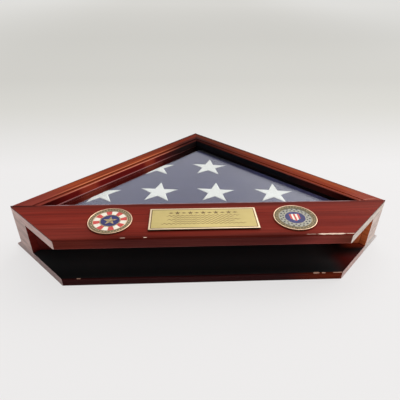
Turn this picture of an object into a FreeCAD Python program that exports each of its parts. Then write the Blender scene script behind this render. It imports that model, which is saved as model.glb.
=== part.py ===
import FreeCAD, Part
import os
import Sketcher

# Display case for a folded flag, lying on its back with the glass face up.
# Millimetres, +Z out through the glass, +Y towards the apex, X across the case.
# The origin is under the middle of the case, on the surface that the back rests on.

doc = FreeCAD.newDocument("flag_case")

# Driving dimensions
SIZES = {
    "case_width": 402,
    "case_depth": 58,
    "fascia_height": 60,
    "face_thickness": 12,
    "back_thickness": 10,
    "side_thickness": 27,
    "wall_thickness": 20,
    "wall_ledge": 2,
    "shelf_thickness": 14,
    "strip_width": 21,
    "strip_round": 1.6,
    "groove_inset": 3.6,
    "groove_width": 3.2,
    "groove_depth": 0.9,
    "fascia_round": 2.4,
    "back_overhang": 13.5,
    "back_edge": 1.6,
    "back_round": 1.5,
    "glass_thickness": 3,
    "glass_overlap": 5,
    "glass_headroom": 0.2,
    "pane_play": 0.5,
    "pane_corner": 9,
    "opening_lip": 1,
    "panel_overlap": 8,
    "panel_thickness": 3,
    "panel_corner": 10,
    "flag_left_gap": 8.5,
    "flag_right_gap": 0.6,
    "flag_lower_gap": 2,
    "flag_ledge_gap": 0.4,
    "flag_top_gap": 0.6,
    "flag_corner": 10,
    "flag_edge_round": 5,
    "button_length": 30,
    "button_width": 12,
    "button_thickness": 1.5,
    "button_play": 1,
    "button_lift": 0.15,
    "button_upper_place": 75,
    "button_lower_place": 85,
    "pivot_diameter": 3,
    "pivot_play": 0.05,
    "pivot_cover": 0.5,
    "pivot_head_diameter": 7,
    "pivot_head_height": 1.6,
    "pivot_head_gap": 0.1,
    "pivot_head_sink": 0.65,
    "dowel_diameter": 6,
    "face_dowel_depth": 8,
    "strip_dowel_upper": 60,
    "strip_dowel_lower": 70,
    "fascia_dowel_margin": 7,
    "shelf_dowel_place": 60,
    "apex_dowel_depth": 13,
    "apex_dowel_margin": 11,
    "screw_diameter": 3.5,
    "screw_length": 26,
    "screw_head_diameter": 7,
    "screw_head_height": 2.5,
    "screw_sink": 3,
    "screw_upper": 48,
    "screw_lower": 34,
    "shelf_screw_place": 88,
    "shelf_screw_inset": 3,
    "plaque_width": 108,
    "plaque_height": 36,
    "plaque_thickness": 1.2,
    "plaque_bevel": 0.5,
    "plaque_drop": 1.3,
    "tape_thickness": 0.8,
    "tape_margin": 4,
    "medallion_diameter": 43,
    "medallion_thickness": 3,
    "medallion_sink": 1.8,
    "medallion_place": 92.3,
    "medallion_drop": 1.7,
    "rim_width": 5.2,
    "field_depth": 0.7,
    "enamel_drop": 0.15,
    "ring_inner": 9.3,
    "ring_width": 1,
    "band_inner": 10.2,
    "star_reach": 7.2,
    "star_waist": 2.8,
    "shield_width": 10,
    "shield_height": 12,
}

# Lines and levels that several pieces share, worked out from the driving dimensions
PLACES = {
    "half_width": "sizes.case_width / 2",
    "leg_length": "sizes.case_width / sqrt(2)",
    "base_y": "-(sizes.fascia_height + sizes.case_width / 2 + sizes.back_overhang * sqrt(2)) / 2",
    "fascia_y": "places.base_y + sizes.fascia_height",
    "apex_y": "places.fascia_y + places.half_width",
    "fascia_middle": "places.base_y + sizes.fascia_height / 2",
    "face_z": "sizes.case_depth - sizes.face_thickness",
    "rabbet_z": "places.face_z + sizes.glass_thickness + sizes.glass_headroom",
    "rabbet_place": "sizes.strip_width - sizes.glass_overlap",
    "groove_place": "sizes.strip_width - sizes.groove_inset",
    "rabbet_y": "places.fascia_y - sizes.glass_overlap",
    "shelf_y": "places.fascia_y - sizes.shelf_thickness",
    "wall_half": "places.half_width - sizes.side_thickness * sqrt(2)",
    "ledge_z": "sizes.back_thickness + sizes.wall_ledge",
    "open_place": "sizes.side_thickness + sizes.opening_lip",
    "open_y": "places.fascia_y + sizes.opening_lip",
    "panel_place": "places.open_place - sizes.panel_overlap",
    "panel_y": "places.open_y - sizes.panel_overlap",
    "pivot_seat": "sizes.pivot_head_sink + sizes.pivot_head_height",
    "button_z": "places.pivot_seat + sizes.pivot_head_gap",
    "recess_z": "places.button_z + sizes.button_thickness + sizes.button_lift",
    "pivot_length": "sizes.back_thickness - places.recess_z - sizes.pivot_cover",
    "panel_z": "places.recess_z + sizes.panel_thickness",
    "flag_shift": "(sizes.flag_left_gap - sizes.flag_right_gap) / sqrt(2)",
    "recess_half": "sizes.button_width / 2 + sizes.button_play",
    "button_reach": "sizes.button_length - sizes.button_width / 2",
    "pivot_place": "places.panel_place - places.recess_half",
    "pivot_y": "places.panel_y - places.recess_half",
    "button_lower": "places.leg_length - sizes.button_lower_place",
    "shelf_dowel_y": "(places.shelf_y + places.rabbet_y) / 2",
    "shelf_screw_y": "places.shelf_y + sizes.shelf_screw_inset",
    "plaque_y": "places.fascia_middle - sizes.plaque_drop",
    "medallion_y": "places.fascia_middle - sizes.medallion_drop",
    "medallion_z": "sizes.case_depth - sizes.medallion_sink",
    "field_z": "places.medallion_z + sizes.medallion_thickness - sizes.field_depth",
    "enamel_height": "sizes.field_depth - sizes.enamel_drop",
    "medallion_radius": "sizes.medallion_diameter / 2",
    "field_radius": "places.medallion_radius - sizes.rim_width",
    "ring_outer": "sizes.ring_inner + sizes.ring_width",
}


def make_sheet(name, cells):
    sheet = doc.addObject("Spreadsheet::Sheet", name)
    for row, (alias, entry) in enumerate(cells.items(), start=1):
        text = "=" + entry if isinstance(entry, str) else str(entry)
        sheet.set(f"A{row}", alias)
        sheet.set(f"B{row}", text)
        sheet.setAlias(f"B{row}", alias)
    doc.recompute()
    return sheet


sizes = make_sheet("sizes", SIZES)
places = make_sheet("places", PLACES)

nodes = []


def keep(piece, label):
    piece.Label = label
    nodes.append(piece)
    return piece


def value(expression):
    return float(sizes.evalExpression(expression))


def new_body(label, x="0", y="0", turn=0):
    body = doc.addObject("PartDesign::Body", label)
    body.Placement.Rotation = FreeCAD.Rotation(FreeCAD.Vector(0, 0, 1), turn)
    body.setExpression("Placement.Base.x", x)
    body.setExpression("Placement.Base.y", y)
    return keep(body, label)


def plan_sketch(body, height):
    plane = [f for f in body.Origin.OriginFeatures if f.Role == "XY_Plane"][0]
    sketch = body.newObject("Sketcher::SketchObject", "plan")
    sketch.AttachmentSupport = [(plane, "")]
    sketch.MapMode = "FlatFace"
    sketch.setExpression("AttachmentOffset.Base.z", height)
    return sketch


def bind_point(sketch, geometry, end, point):
    for kind, text in zip(("DistanceX", "DistanceY"), point):
        index = sketch.addConstraint(Sketcher.Constraint(kind, geometry, end, value(text)))
        sketch.setExpression(f"Constraints[{index}]", text)


def draw_polygon(sketch, points):
    corners = [FreeCAD.Vector(value(x), value(y), 0) for x, y in points]
    first = sketch.GeometryCount
    count = len(corners)
    for i in range(count):
        sketch.addGeometry(Part.LineSegment(corners[i], corners[(i + 1) % count]))
    for i in range(count):
        after = first + (i + 1) % count
        sketch.addConstraint(Sketcher.Constraint("Coincident", first + i, 2, after, 1))
        bind_point(sketch, first + i, 1, points[i])


def draw_circle(sketch, point, radius):
    middle = FreeCAD.Vector(value(point[0]), value(point[1]), 0)
    upright = FreeCAD.Vector(0, 0, 1)
    index = sketch.addGeometry(Part.Circle(middle, upright, value(radius)))
    bind_point(sketch, index, 3, point)
    size = sketch.addConstraint(Sketcher.Constraint("Radius", index, value(radius)))
    sketch.setExpression(f"Constraints[{size}]", radius)


def pad(body, height, length, points):
    sketch = plan_sketch(body, height)
    draw_polygon(sketch, points)
    feature = body.newObject("PartDesign::Pad", "pad")
    feature.Profile = sketch
    feature.setExpression("Length", length)
    doc.recompute()
    return feature


def pocket(body, height, depth, polygons=(), circles=(), upward=False):
    before = body.Shape.Volume
    sketch = plan_sketch(body, height)
    for points in polygons:
        draw_polygon(sketch, points)
    for point, radius in circles:
        draw_circle(sketch, point, radius)
    feature = body.newObject("PartDesign::Pocket", "pocket")
    feature.Profile = sketch
    feature.Reversed = upward
    feature.setExpression("Length", depth)
    doc.recompute()
    if body.Shape.Volume >= before:
        raise RuntimeError(f"a pocket in {body.Label} cuts nothing")
    return feature


def edges_where(shape, test):
    return [f"Edge{i}" for i, edge in enumerate(shape.Edges, start=1) if test(edge)]


def dress(body, kind, size_name, size, test):
    base = body.Tip
    feature = body.newObject(kind, "dressed_edges")
    feature.Base = (base, edges_where(base.Shape, test))
    feature.setExpression(size_name, size)
    doc.recompute()
    return feature


def round_edges(body, radius, test):
    return dress(body, "PartDesign::Fillet", "Radius", radius, test)


MATCH_TOLERANCE = 1e-4


def near(number, expression):
    return abs(number - value(expression)) < MATCH_TOLERANCE


def lies_at(edge, axis, expression):
    return all(near(vertex.Point[axis], expression) for vertex in edge.Vertexes)


# Each sloping leg has its own frame: along runs down the leg from the apex, and inward is the
# distance in from its outer line. hand is 1 on the right and -1 on the left.
LEGS = ("left", "right")


def hand_of(leg):
    return 1 if leg == "right" else -1


HANDS = [hand_of(leg) for leg in LEGS]


def leg_point(hand, along, inward):
    return (along, f"{-hand} * ({inward})")


def case_point(hand, along, inward):
    x = f"{hand} * (({along}) - ({inward})) / sqrt(2)"
    y = f"places.apex_y - (({along}) + ({inward})) / sqrt(2)"
    return (x, y)


def leg_points(alongs, inward):
    return [case_point(hand, along, inward) for hand in HANDS for along in alongs]


def leg_body(leg, part):
    turn = 45 * hand_of(leg) - 90
    return new_body(f"{leg}_{part}", y="places.apex_y", turn=turn)


STRIP_DOWEL_PLACE = "places.rabbet_place / 2"
RAIL_SCREW_PLACE = "sizes.side_thickness / 2"
STRIP_DOWELS = ["sizes.strip_dowel_upper", "places.leg_length - sizes.strip_dowel_lower"]
RAIL_SCREWS = [
    "sizes.screw_upper",
    "places.leg_length / 2",
    "places.leg_length - sizes.screw_lower",
]
RAIL_BUTTONS = ["sizes.button_upper_place", "places.button_lower"]
FASCIA_DOWEL = (
    "places.leg_length - sizes.fascia_dowel_margin",
    "sizes.side_thickness - sizes.fascia_dowel_margin",
)
APEX_DOWELS = [
    "sizes.back_thickness + sizes.apex_dowel_margin",
    "places.face_z - sizes.apex_dowel_margin",
]
DOWEL_RADIUS = "sizes.dowel_diameter / 2"
SCREW_RADIUS = "sizes.screw_diameter / 2"
SCREW_HEAD_RADIUS = "sizes.screw_head_diameter / 2"
PIVOT_RADIUS = "sizes.pivot_diameter / 2"


# Side walls: square bars mitred at the apex and cut square at the lower end. Above a low ledge
# they are cut thinner beside the flag.
def make_side(leg):
    body = leg_body(leg, "side")
    hand = hand_of(leg)
    wall = "sizes.side_thickness"
    outline = [("0", "0"), ("places.leg_length", "0"), ("places.leg_length", wall), (wall, wall)]
    height = "places.face_z - sizes.back_thickness"
    pad(body, "sizes.back_thickness", height, [leg_point(hand, *p) for p in outline])
    thin = "sizes.wall_thickness"
    relief = [(thin, thin), (f"places.leg_length - {thin}", thin)]
    relief += [(f"places.leg_length - {wall}", wall), (wall, wall)]
    relief_depth = "places.face_z - places.ledge_z"
    pocket(body, "places.face_z", relief_depth, [[leg_point(hand, *p) for p in relief]])
    dowels = [(place, STRIP_DOWEL_PLACE) for place in STRIP_DOWELS] + [FASCIA_DOWEL]
    holes = [(leg_point(hand, *p), DOWEL_RADIUS) for p in dowels]
    pocket(body, "places.face_z", "sizes.face_dowel_depth", circles=holes)
    screws = [(leg_point(hand, p, RAIL_SCREW_PLACE), SCREW_RADIUS) for p in RAIL_SCREWS]
    bite = "sizes.screw_sink + sizes.screw_length - sizes.back_thickness"
    pocket(body, "sizes.back_thickness", bite, circles=screws, upward=True)
    plane = [f for f in body.Origin.OriginFeatures if f.Role == "XY_Plane"][0]
    for level in APEX_DOWELS:
        hole = body.newObject("PartDesign::SubtractiveCylinder", "mitre_hole")
        hole.AttachmentSupport = [(plane, "")]
        hole.MapMode = "FlatFace"
        across = FreeCAD.Rotation(FreeCAD.Vector(0, 0, 1), FreeCAD.Vector(1, hand, 0))
        hole.AttachmentOffset = FreeCAD.Placement(FreeCAD.Vector(), across)
        hole.setExpression("AttachmentOffset.Base.x", f"{wall} / 2")
        hole.setExpression("AttachmentOffset.Base.y", f"{-hand} * {wall} / 2")
        hole.setExpression("AttachmentOffset.Base.z", level)
        hole.setExpression("Radius", DOWEL_RADIUS)
        hole.setExpression("Height", "sizes.apex_dowel_depth")
    doc.recompute()


# Face strips: the sloping members of the front frame, with a rabbet for the glass behind
def make_strip(leg):
    body = leg_body(leg, "face_strip")
    hand = hand_of(leg)
    width = "sizes.strip_width"

    def band(near_side, far_side):
        ends = [(near_side, near_side), (f"places.leg_length - ({near_side})", near_side)]
        ends += [(f"places.leg_length - ({far_side})", far_side), (far_side, far_side)]
        return [leg_point(hand, *p) for p in ends]

    pad(body, "places.face_z", "sizes.face_thickness", band("0", width))
    rabbet = [band("places.rabbet_place", width)]
    pocket(body, "places.face_z", "places.rabbet_z - places.face_z", rabbet, upward=True)
    start = "places.groove_place - sizes.groove_width / 2"
    stop = "places.groove_place + sizes.groove_width / 2"
    pocket(body, "sizes.case_depth", "sizes.groove_depth", [band(start, stop)])
    holes = [(leg_point(hand, p, STRIP_DOWEL_PLACE), DOWEL_RADIUS) for p in STRIP_DOWELS]
    pocket(body, "places.face_z", "sizes.face_dowel_depth", circles=holes, upward=True)

    def exposed(edge):
        level = lies_at(edge, 2, "sizes.case_depth")
        return level and (lies_at(edge, 1, "0") or lies_at(edge, 1, f"{-hand} * {width}"))

    round_edges(body, "sizes.strip_round", exposed)


# Back rails: bevelled members under the side walls, rabbeted for the access panel
def make_rail(leg):
    body = leg_body(leg, "back_rail")
    hand = hand_of(leg)
    reach = "sizes.back_overhang"
    inner = "places.open_place"
    outline = [(f"-{reach}", f"-{reach}"), ("places.leg_length", f"-{reach}")]
    outline += [("places.leg_length", inner), (inner, inner)]
    pad(body, "0", "sizes.back_thickness", [leg_point(hand, *p) for p in outline])
    bevel_rail(body, hand)
    seat = "places.panel_place"
    corner_sum = "(places.apex_y - places.panel_y) * sqrt(2)"
    rabbet = [(seat, seat), (f"{corner_sum} - ({seat})", seat)]
    rabbet += [(f"{corner_sum} - ({inner})", inner), (inner, inner)]
    pocket(body, "0", "places.panel_z", [[leg_point(hand, *p) for p in rabbet]], upward=True)
    recesses = []
    for pivot in RAIL_BUTTONS:
        back = f"{pivot} - places.recess_half"
        front = f"{pivot} + places.button_reach + sizes.button_play"
        outer = "places.pivot_place - places.recess_half"
        box = [(back, outer), (front, outer), (front, seat), (back, seat)]
        recesses.append([leg_point(hand, *p) for p in box])
    pocket(body, "0", "places.recess_z", recesses, upward=True)
    pivots = [(leg_point(hand, p, "places.pivot_place"), PIVOT_RADIUS) for p in RAIL_BUTTONS]
    pocket(body, "places.recess_z", "places.pivot_length", circles=pivots, upward=True)
    screws = [leg_point(hand, p, RAIL_SCREW_PLACE) for p in RAIL_SCREWS]
    drill_screws(body, screws)


def bevel_rail(body, hand):
    plane = [f for f in body.Origin.OriginFeatures if f.Role == "YZ_Plane"][0]
    sketch = body.newObject("Sketcher::SketchObject", "bevel")
    sketch.AttachmentSupport = [(plane, "")]
    sketch.MapMode = "FlatFace"
    sketch.setExpression("AttachmentOffset.Base.z", "-sizes.back_overhang")
    outer = f"{hand} * sizes.back_overhang"
    corner = [("0", "sizes.back_thickness"), (outer, "sizes.back_edge")]
    draw_polygon(sketch, corner + [(outer, "sizes.back_thickness")])
    feature = body.newObject("PartDesign::Pocket", "bevel_cut")
    feature.Profile = sketch
    feature.Reversed = True
    feature.setExpression("Length", "places.leg_length + sizes.back_overhang")
    doc.recompute()


def drill_screws(body, points):
    heads = [(point, SCREW_HEAD_RADIUS) for point in points]
    pocket(body, "0", "sizes.screw_sink", circles=heads, upward=True)
    shanks = [(point, SCREW_RADIUS) for point in points]
    pocket(body, "0", "sizes.back_thickness", circles=shanks, upward=True)


# Front fascia: trapezoid board across the base, with shallow seats for the medallions
def make_fascia():
    body = new_body("front_fascia")
    low = "places.half_width - sizes.fascia_height"
    outline = [(f"-({low})", "places.base_y"), (low, "places.base_y")]
    outline += [("places.half_width", "places.fascia_y"), ("-places.half_width", "places.fascia_y")]
    pad(body, "places.face_z", "sizes.face_thickness", outline)
    reach = "places.half_width - places.rabbet_place * sqrt(2)"
    wide = f"({reach}) + sizes.glass_overlap"
    rabbet = [(f"-({wide})", "places.rabbet_y"), (wide, "places.rabbet_y")]
    rabbet += [(reach, "places.fascia_y"), (f"-({reach})", "places.fascia_y")]
    pocket(body, "places.face_z", "places.rabbet_z - places.face_z", [rabbet], upward=True)
    holes = [(point, DOWEL_RADIUS) for point in fascia_dowel_points()]
    pocket(body, "places.face_z", "sizes.face_dowel_depth", circles=holes, upward=True)
    seats = [(medallion_point(hand), "places.medallion_radius") for hand in HANDS]
    pocket(body, "sizes.case_depth", "sizes.medallion_sink", circles=seats)

    def lower(edge):
        return lies_at(edge, 1, "places.base_y") and not near(edge.Length, "sizes.face_thickness")

    round_edges(body, "sizes.fascia_round", lower)


def fascia_dowel_points():
    ends = [case_point(hand, *FASCIA_DOWEL) for hand in HANDS]
    return ends + shelf_points("sizes.shelf_dowel_place", "places.shelf_dowel_y")


def shelf_points(place, height):
    return [(f"{hand} * {place}", height) for hand in HANDS]


def medallion_point(hand):
    return (f"{hand} * sizes.medallion_place", "places.medallion_y")


# Flag shelf: fits between the side walls, behind the fascia's upper edge
def make_shelf():
    body = new_body("flag_shelf")
    low = "places.wall_half + sizes.shelf_thickness"
    outline = [(f"-({low})", "places.shelf_y"), (low, "places.shelf_y")]
    outline += [("places.wall_half", "places.fascia_y"), ("-places.wall_half", "places.fascia_y")]
    pad(body, "sizes.back_thickness", "places.face_z - sizes.back_thickness", outline)
    dowels = shelf_points("sizes.shelf_dowel_place", "places.shelf_dowel_y")
    holes = [(point, DOWEL_RADIUS) for point in dowels]
    pocket(body, "places.face_z", "sizes.face_dowel_depth", circles=holes)
    screws = shelf_points("sizes.shelf_screw_place", "places.shelf_screw_y")
    bite = "sizes.screw_sink + sizes.screw_length - sizes.back_thickness"
    holes = [(point, SCREW_RADIUS) for point in screws]
    pocket(body, "sizes.back_thickness", bite, circles=holes, upward=True)


# Rear base board: closes the back between the rails, below the access opening
def make_base_board():
    body = new_body("rear_base_board")
    low = "places.half_width - sizes.fascia_height"
    knee = ("places.half_width - places.open_place / sqrt(2)",
            "places.fascia_y - places.open_place / sqrt(2)")
    top = "places.half_width - sizes.opening_lip - places.open_place * sqrt(2)"
    right = [(low, "places.base_y"), knee, (top, "places.open_y")]
    left = [(f"-({x})", y) for x, y in reversed(right)]
    pad(body, "0", "sizes.back_thickness", right + left)
    side = f"({top}) + sizes.panel_overlap"
    rabbet = [(f"-({side})", "places.panel_y"), (side, "places.panel_y")]
    rabbet += [(top, "places.open_y"), (f"-({top})", "places.open_y")]
    pocket(body, "0", "places.panel_z", [rabbet], upward=True)
    back = "-places.recess_half"
    front = "places.button_reach + sizes.button_play"
    floor = "places.pivot_y - places.recess_half"
    box = [(back, floor), (front, floor), (front, "places.panel_y"), (back, "places.panel_y")]
    pocket(body, "0", "places.recess_z", [box], upward=True)
    pivot = [(("0", "places.pivot_y"), PIVOT_RADIUS)]
    pocket(body, "places.recess_z", "places.pivot_length", circles=pivot, upward=True)
    drill_screws(body, shelf_points("sizes.shelf_screw_place", "places.shelf_screw_y"))

    def lower(edge):
        return lies_at(edge, 1, "places.base_y") and not near(edge.Length, "sizes.back_thickness")

    round_edges(body, "sizes.back_round", lower)


# A triangle in the case: its sloping edges run parallel to the legs, and its lower corners
# are cut off upright
def triangle(inward, lower, corner):
    half = f"places.apex_y - ({lower}) - ({inward}) * sqrt(2) - ({corner})"
    tip = f"places.apex_y - ({inward}) * sqrt(2)"
    rise = f"({lower}) + ({corner})"
    outline = [(f"-({half})", lower), (half, lower), (half, rise), ("0", tip)]
    return outline + [(f"-({half})", rise)]


def make_glass():
    body = new_body("glass_pane")
    edge = "places.rabbet_place + sizes.pane_play"
    lower = "places.rabbet_y + sizes.pane_play"
    outline = triangle(edge, lower, "sizes.pane_corner")
    pad(body, "places.face_z", "sizes.glass_thickness", outline)


def make_panel():
    body = new_body("access_panel")
    edge = "places.panel_place + sizes.pane_play"
    lower = "places.panel_y + sizes.pane_play"
    outline = triangle(edge, lower, "sizes.panel_corner")
    pad(body, "places.recess_z", "sizes.panel_thickness", outline)


# Folded flag: lies against the right wall, and its foot stands on the panel in the opening
def make_flag():
    body = new_body("folded_flag", x="places.flag_shift")
    lower = "places.fascia_y + sizes.flag_lower_gap"
    seat = "places.ledge_z + sizes.flag_ledge_gap"
    top = "places.face_z - sizes.flag_top_gap"
    foot = "places.open_place + sizes.flag_lower_gap + places.flag_shift / sqrt(2)"
    foot_outline = triangle(foot, lower, "sizes.flag_corner")
    pad(body, "places.panel_z", f"{seat} - places.panel_z", foot_outline)
    edge = "sizes.wall_thickness + (sizes.flag_left_gap + sizes.flag_right_gap) / 2"
    pad(body, seat, f"{top} - ({seat})", triangle(edge, lower, "sizes.flag_corner"))
    round_edges(body, "sizes.flag_edge_round", lambda edge: lies_at(edge, 2, top))


# Turn buttons: oblong plates on a pivot screw, resting over the access panel
def make_button(name, point, turn):
    body = new_body(f"turn_button_{name}", point[0], point[1], turn)
    half = "sizes.button_width / 2"
    straight = "places.button_reach - sizes.button_width / 2"
    bar = [("0", f"-{half}"), (straight, f"-{half}"), (straight, half), ("0", half)]
    pad(body, "places.button_z", "sizes.button_thickness", bar)
    for x in ("0", straight):
        sketch = plan_sketch(body, "places.button_z")
        draw_circle(sketch, (x, "0"), half)
        feature = body.newObject("PartDesign::Pad", "round_end")
        feature.Profile = sketch
        feature.setExpression("Length", "sizes.button_thickness")
    doc.recompute()
    bore = [(("0", "0"), f"{PIVOT_RADIUS} + sizes.pivot_play")]
    pocket(body, "places.button_z", "sizes.button_thickness", circles=bore, upward=True)


def button_place(leg, along):
    turn = -90 - 45 * hand_of(leg)
    return (case_point(hand_of(leg), along, "places.pivot_place"), turn)


BUTTONS = {
    "left_upper": button_place("left", "sizes.button_upper_place"),
    "left_lower": button_place("left", "places.button_lower"),
    "right_upper": button_place("right", "sizes.button_upper_place"),
    "right_lower": button_place("right", "places.button_lower"),
    "base": (("0", "places.pivot_y"), 90),
}


def cylinder(point, height, length, radius, direction=(0, 0, 1)):
    rod = doc.addObject("Part::Cylinder", "rod")
    axis = FreeCAD.Rotation(FreeCAD.Vector(0, 0, 1), FreeCAD.Vector(*direction))
    rod.Placement = FreeCAD.Placement(FreeCAD.Vector(), axis)
    for axis_name, text in zip("xyz", (*point, height)):
        rod.setExpression(f"Placement.Base.{axis_name}", text)
    rod.setExpression("Height", length)
    rod.setExpression("Radius", radius)
    return rod


def fuse(first, second):
    joined = doc.addObject("Part::Fuse", "joined")
    joined.Base = first
    joined.Tool = second
    return joined


def cut(base, tool):
    remainder = doc.addObject("Part::Cut", "remainder")
    remainder.Base = base
    remainder.Tool = tool
    return remainder


def group(label, pieces):
    bundle = doc.addObject("Part::Compound", label)
    bundle.Links = pieces
    return keep(bundle, label)


# Screws and dowels, each kind kept together
def make_fasteners():
    screw_points = leg_points(RAIL_SCREWS, RAIL_SCREW_PLACE)
    screw_points += shelf_points("sizes.shelf_screw_place", "places.shelf_screw_y")
    head_floor = "sizes.screw_sink - sizes.screw_head_height"
    group("back_screws", [
        fuse(cylinder(p, head_floor, "sizes.screw_head_height", SCREW_HEAD_RADIUS),
             cylinder(p, "sizes.screw_sink", "sizes.screw_length", SCREW_RADIUS))
        for p in screw_points
    ])
    head_radius = "sizes.pivot_head_diameter / 2"
    shank = "places.recess_z + places.pivot_length - places.pivot_seat"
    group("turn_button_screws", [
        fuse(cylinder(p, "sizes.pivot_head_sink", "sizes.pivot_head_height", head_radius),
             cylinder(p, "places.pivot_seat", shank, PIVOT_RADIUS))
        for p, _ in BUTTONS.values()
    ])
    strip_points = leg_points(STRIP_DOWELS, STRIP_DOWEL_PLACE)
    foot = "places.face_z - sizes.face_dowel_depth"
    group("face_frame_dowels", [
        cylinder(p, foot, "2 * sizes.face_dowel_depth", DOWEL_RADIUS)
        for p in strip_points + fascia_dowel_points()
    ])
    start = ("-sizes.apex_dowel_depth", "places.apex_y - sizes.side_thickness / sqrt(2)")
    group("apex_dowels", [
        cylinder(start, level, "2 * sizes.apex_dowel_depth", DOWEL_RADIUS, (1, 0, 0))
        for level in APEX_DOWELS
    ])


# Brass plaque on its mounting tape
def make_plaque():
    def rectangle(margin):
        half = f"sizes.plaque_width / 2 - {margin}"
        low = f"places.plaque_y - sizes.plaque_height / 2 + {margin}"
        high = f"places.plaque_y + sizes.plaque_height / 2 - {margin}"
        return [(f"-({half})", low), (half, low), (half, high), (f"-({half})", high)]

    tape = new_body("plaque_tape")
    pad(tape, "sizes.case_depth", "sizes.tape_thickness", rectangle("sizes.tape_margin"))
    plate = new_body("plaque")
    pad(plate, "sizes.case_depth + sizes.tape_thickness", "sizes.plaque_thickness", rectangle("0"))
    top = "sizes.case_depth + sizes.tape_thickness + sizes.plaque_thickness"

    def upper(edge):
        return lies_at(edge, 2, top)

    dress(plate, "PartDesign::Chamfer", "Size", "sizes.plaque_bevel", upper)


# Medallions: a struck disc with a raised rim, and enamel set in its sunk field
def enamel_disc(point, radius):
    return cylinder(point, "places.field_z", "places.enamel_height", radius)


def upright_prism(points, height, length):
    sketch = doc.addObject("Sketcher::SketchObject", "motif")
    sketch.setExpression("Placement.Base.z", height)
    draw_polygon(sketch, points)
    prism = doc.addObject("Part::Extrusion", "motif_prism")
    prism.Base = sketch
    prism.DirMode = "Normal"
    prism.Solid = True
    prism.setExpression("LengthFwd", length)
    return prism


def struck_disc(point):
    thickness = "sizes.medallion_thickness"
    disc = cylinder(point, "places.medallion_z", thickness, "places.medallion_radius")
    field = cylinder(point, "places.field_z", "sizes.field_depth", "places.field_radius")
    return cut(disc, field)


STAR_TIPS = 5


def star_points(point):
    corners = []
    for i in range(2 * STAR_TIPS):
        reach = "sizes.star_waist" if i % 2 else "sizes.star_reach"
        angle = 90 + i * 180 / STAR_TIPS
        x = f"{point[0]} + {reach} * cos({angle} deg)"
        y = f"{point[1]} + {reach} * sin({angle} deg)"
        corners.append((x, y))
    return corners


WEDGES = 16


def wedges(point, first):
    step = 360 / WEDGES
    parts = []
    for i in range(first, WEDGES, 2):
        wedge = enamel_disc(point, "places.field_radius")
        wedge.Angle = step
        wedge.Placement.Rotation = FreeCAD.Rotation(FreeCAD.Vector(0, 0, 1), i * step)
        parts.append(cut(wedge, enamel_disc(point, "places.ring_outer")))
    return parts


# Left medallion: a star on a blue disc, ringed by red and white wedges
def make_left_medallion():
    point = medallion_point(hand_of("left"))
    ring = cut(cylinder(point, "places.field_z", "sizes.field_depth", "places.ring_outer"),
               cylinder(point, "places.field_z", "sizes.field_depth", "sizes.ring_inner"))
    star = upright_prism(star_points(point), "places.field_z", "sizes.field_depth")
    keep(fuse(fuse(struck_disc(point), ring), star), "left_medallion")
    hole = upright_prism(star_points(point), "places.field_z", "sizes.field_depth")
    keep(cut(enamel_disc(point, "sizes.ring_inner"), hole), "left_medallion_blue")
    group("left_medallion_red", wedges(point, 0))
    group("left_medallion_white", wedges(point, 1))


def shield_points(point):
    half = "sizes.shield_width / 2"
    top = f"{point[1]} + sizes.shield_height / 2"
    shoulder = f"{point[1]} - sizes.shield_height / 6"
    tip = f"{point[1]} - sizes.shield_height / 2"
    return [(f"{point[0]} - {half}", top), (f"{point[0]} - {half}", shoulder), (point[0], tip),
            (f"{point[0]} + {half}", shoulder), (f"{point[0]} + {half}", top)]


SHIELD_BARS = 5


def shield_bars(point, first):
    low = f"{point[1]} - sizes.shield_height / 2"
    high = f"{point[1]} + sizes.shield_height / 2"
    bars = []
    for i in range(first, SHIELD_BARS, 2):
        left = f"{point[0]} + sizes.shield_width * {i / SHIELD_BARS - 0.5}"
        right = f"{point[0]} + sizes.shield_width * {(i + 1) / SHIELD_BARS - 0.5}"
        outline = [(left, low), (right, low), (right, high), (left, high)]
        bar = doc.addObject("Part::Common", "shield_bar")
        bar.Base = upright_prism(outline, "places.field_z", "places.enamel_height")
        bar.Tool = upright_prism(shield_points(point), "places.field_z", "places.enamel_height")
        bars.append(bar)
    return bars


# Right medallion: a striped shield on a blue disc, inside a plain metal band
def make_right_medallion():
    point = medallion_point(hand_of("right"))
    band = cut(cylinder(point, "places.field_z", "places.enamel_height", "places.field_radius"),
               cylinder(point, "places.field_z", "places.enamel_height", "sizes.band_inner"))
    keep(fuse(struck_disc(point), band), "right_medallion")
    hole = upright_prism(shield_points(point), "places.field_z", "places.enamel_height")
    keep(cut(enamel_disc(point, "sizes.band_inner"), hole), "right_medallion_blue")
    group("right_medallion_red", shield_bars(point, 0))
    group("right_medallion_white", shield_bars(point, 1))


for leg_name in LEGS:
    make_side(leg_name)
    make_strip(leg_name)
    make_rail(leg_name)
make_fascia()
make_shelf()
make_base_board()
make_glass()
make_panel()
make_flag()
for button, (pivot_point, pivot_turn) in BUTTONS.items():
    make_button(button, pivot_point, pivot_turn)
make_fasteners()
make_plaque()
make_left_medallion()
make_right_medallion()
doc.recompute()

# Everything is whole before any file is written
for item in doc.Objects:
    if "Invalid" in item.State or "Error" in item.State:
        raise RuntimeError(f"{item.Label} failed: {item.State}")
for node in nodes:
    if node.Shape.isNull() or not node.Shape.isValid():
        raise RuntimeError(f"{node.Label} has no sound shape")

os.makedirs("parts", exist_ok=True)
for node in nodes:
    node.Shape.exportStep(os.path.join("parts", f"{node.Label}.step"))
    print(f"{node.Label}: {len(node.Shape.Solids)} solid(s), {node.Shape.Volume:.0f} mm3")
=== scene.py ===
from math import atan2, cos, pi, radians, sin, sqrt

import bmesh
import bpy
from mathutils import Matrix, Vector, noise


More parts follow.
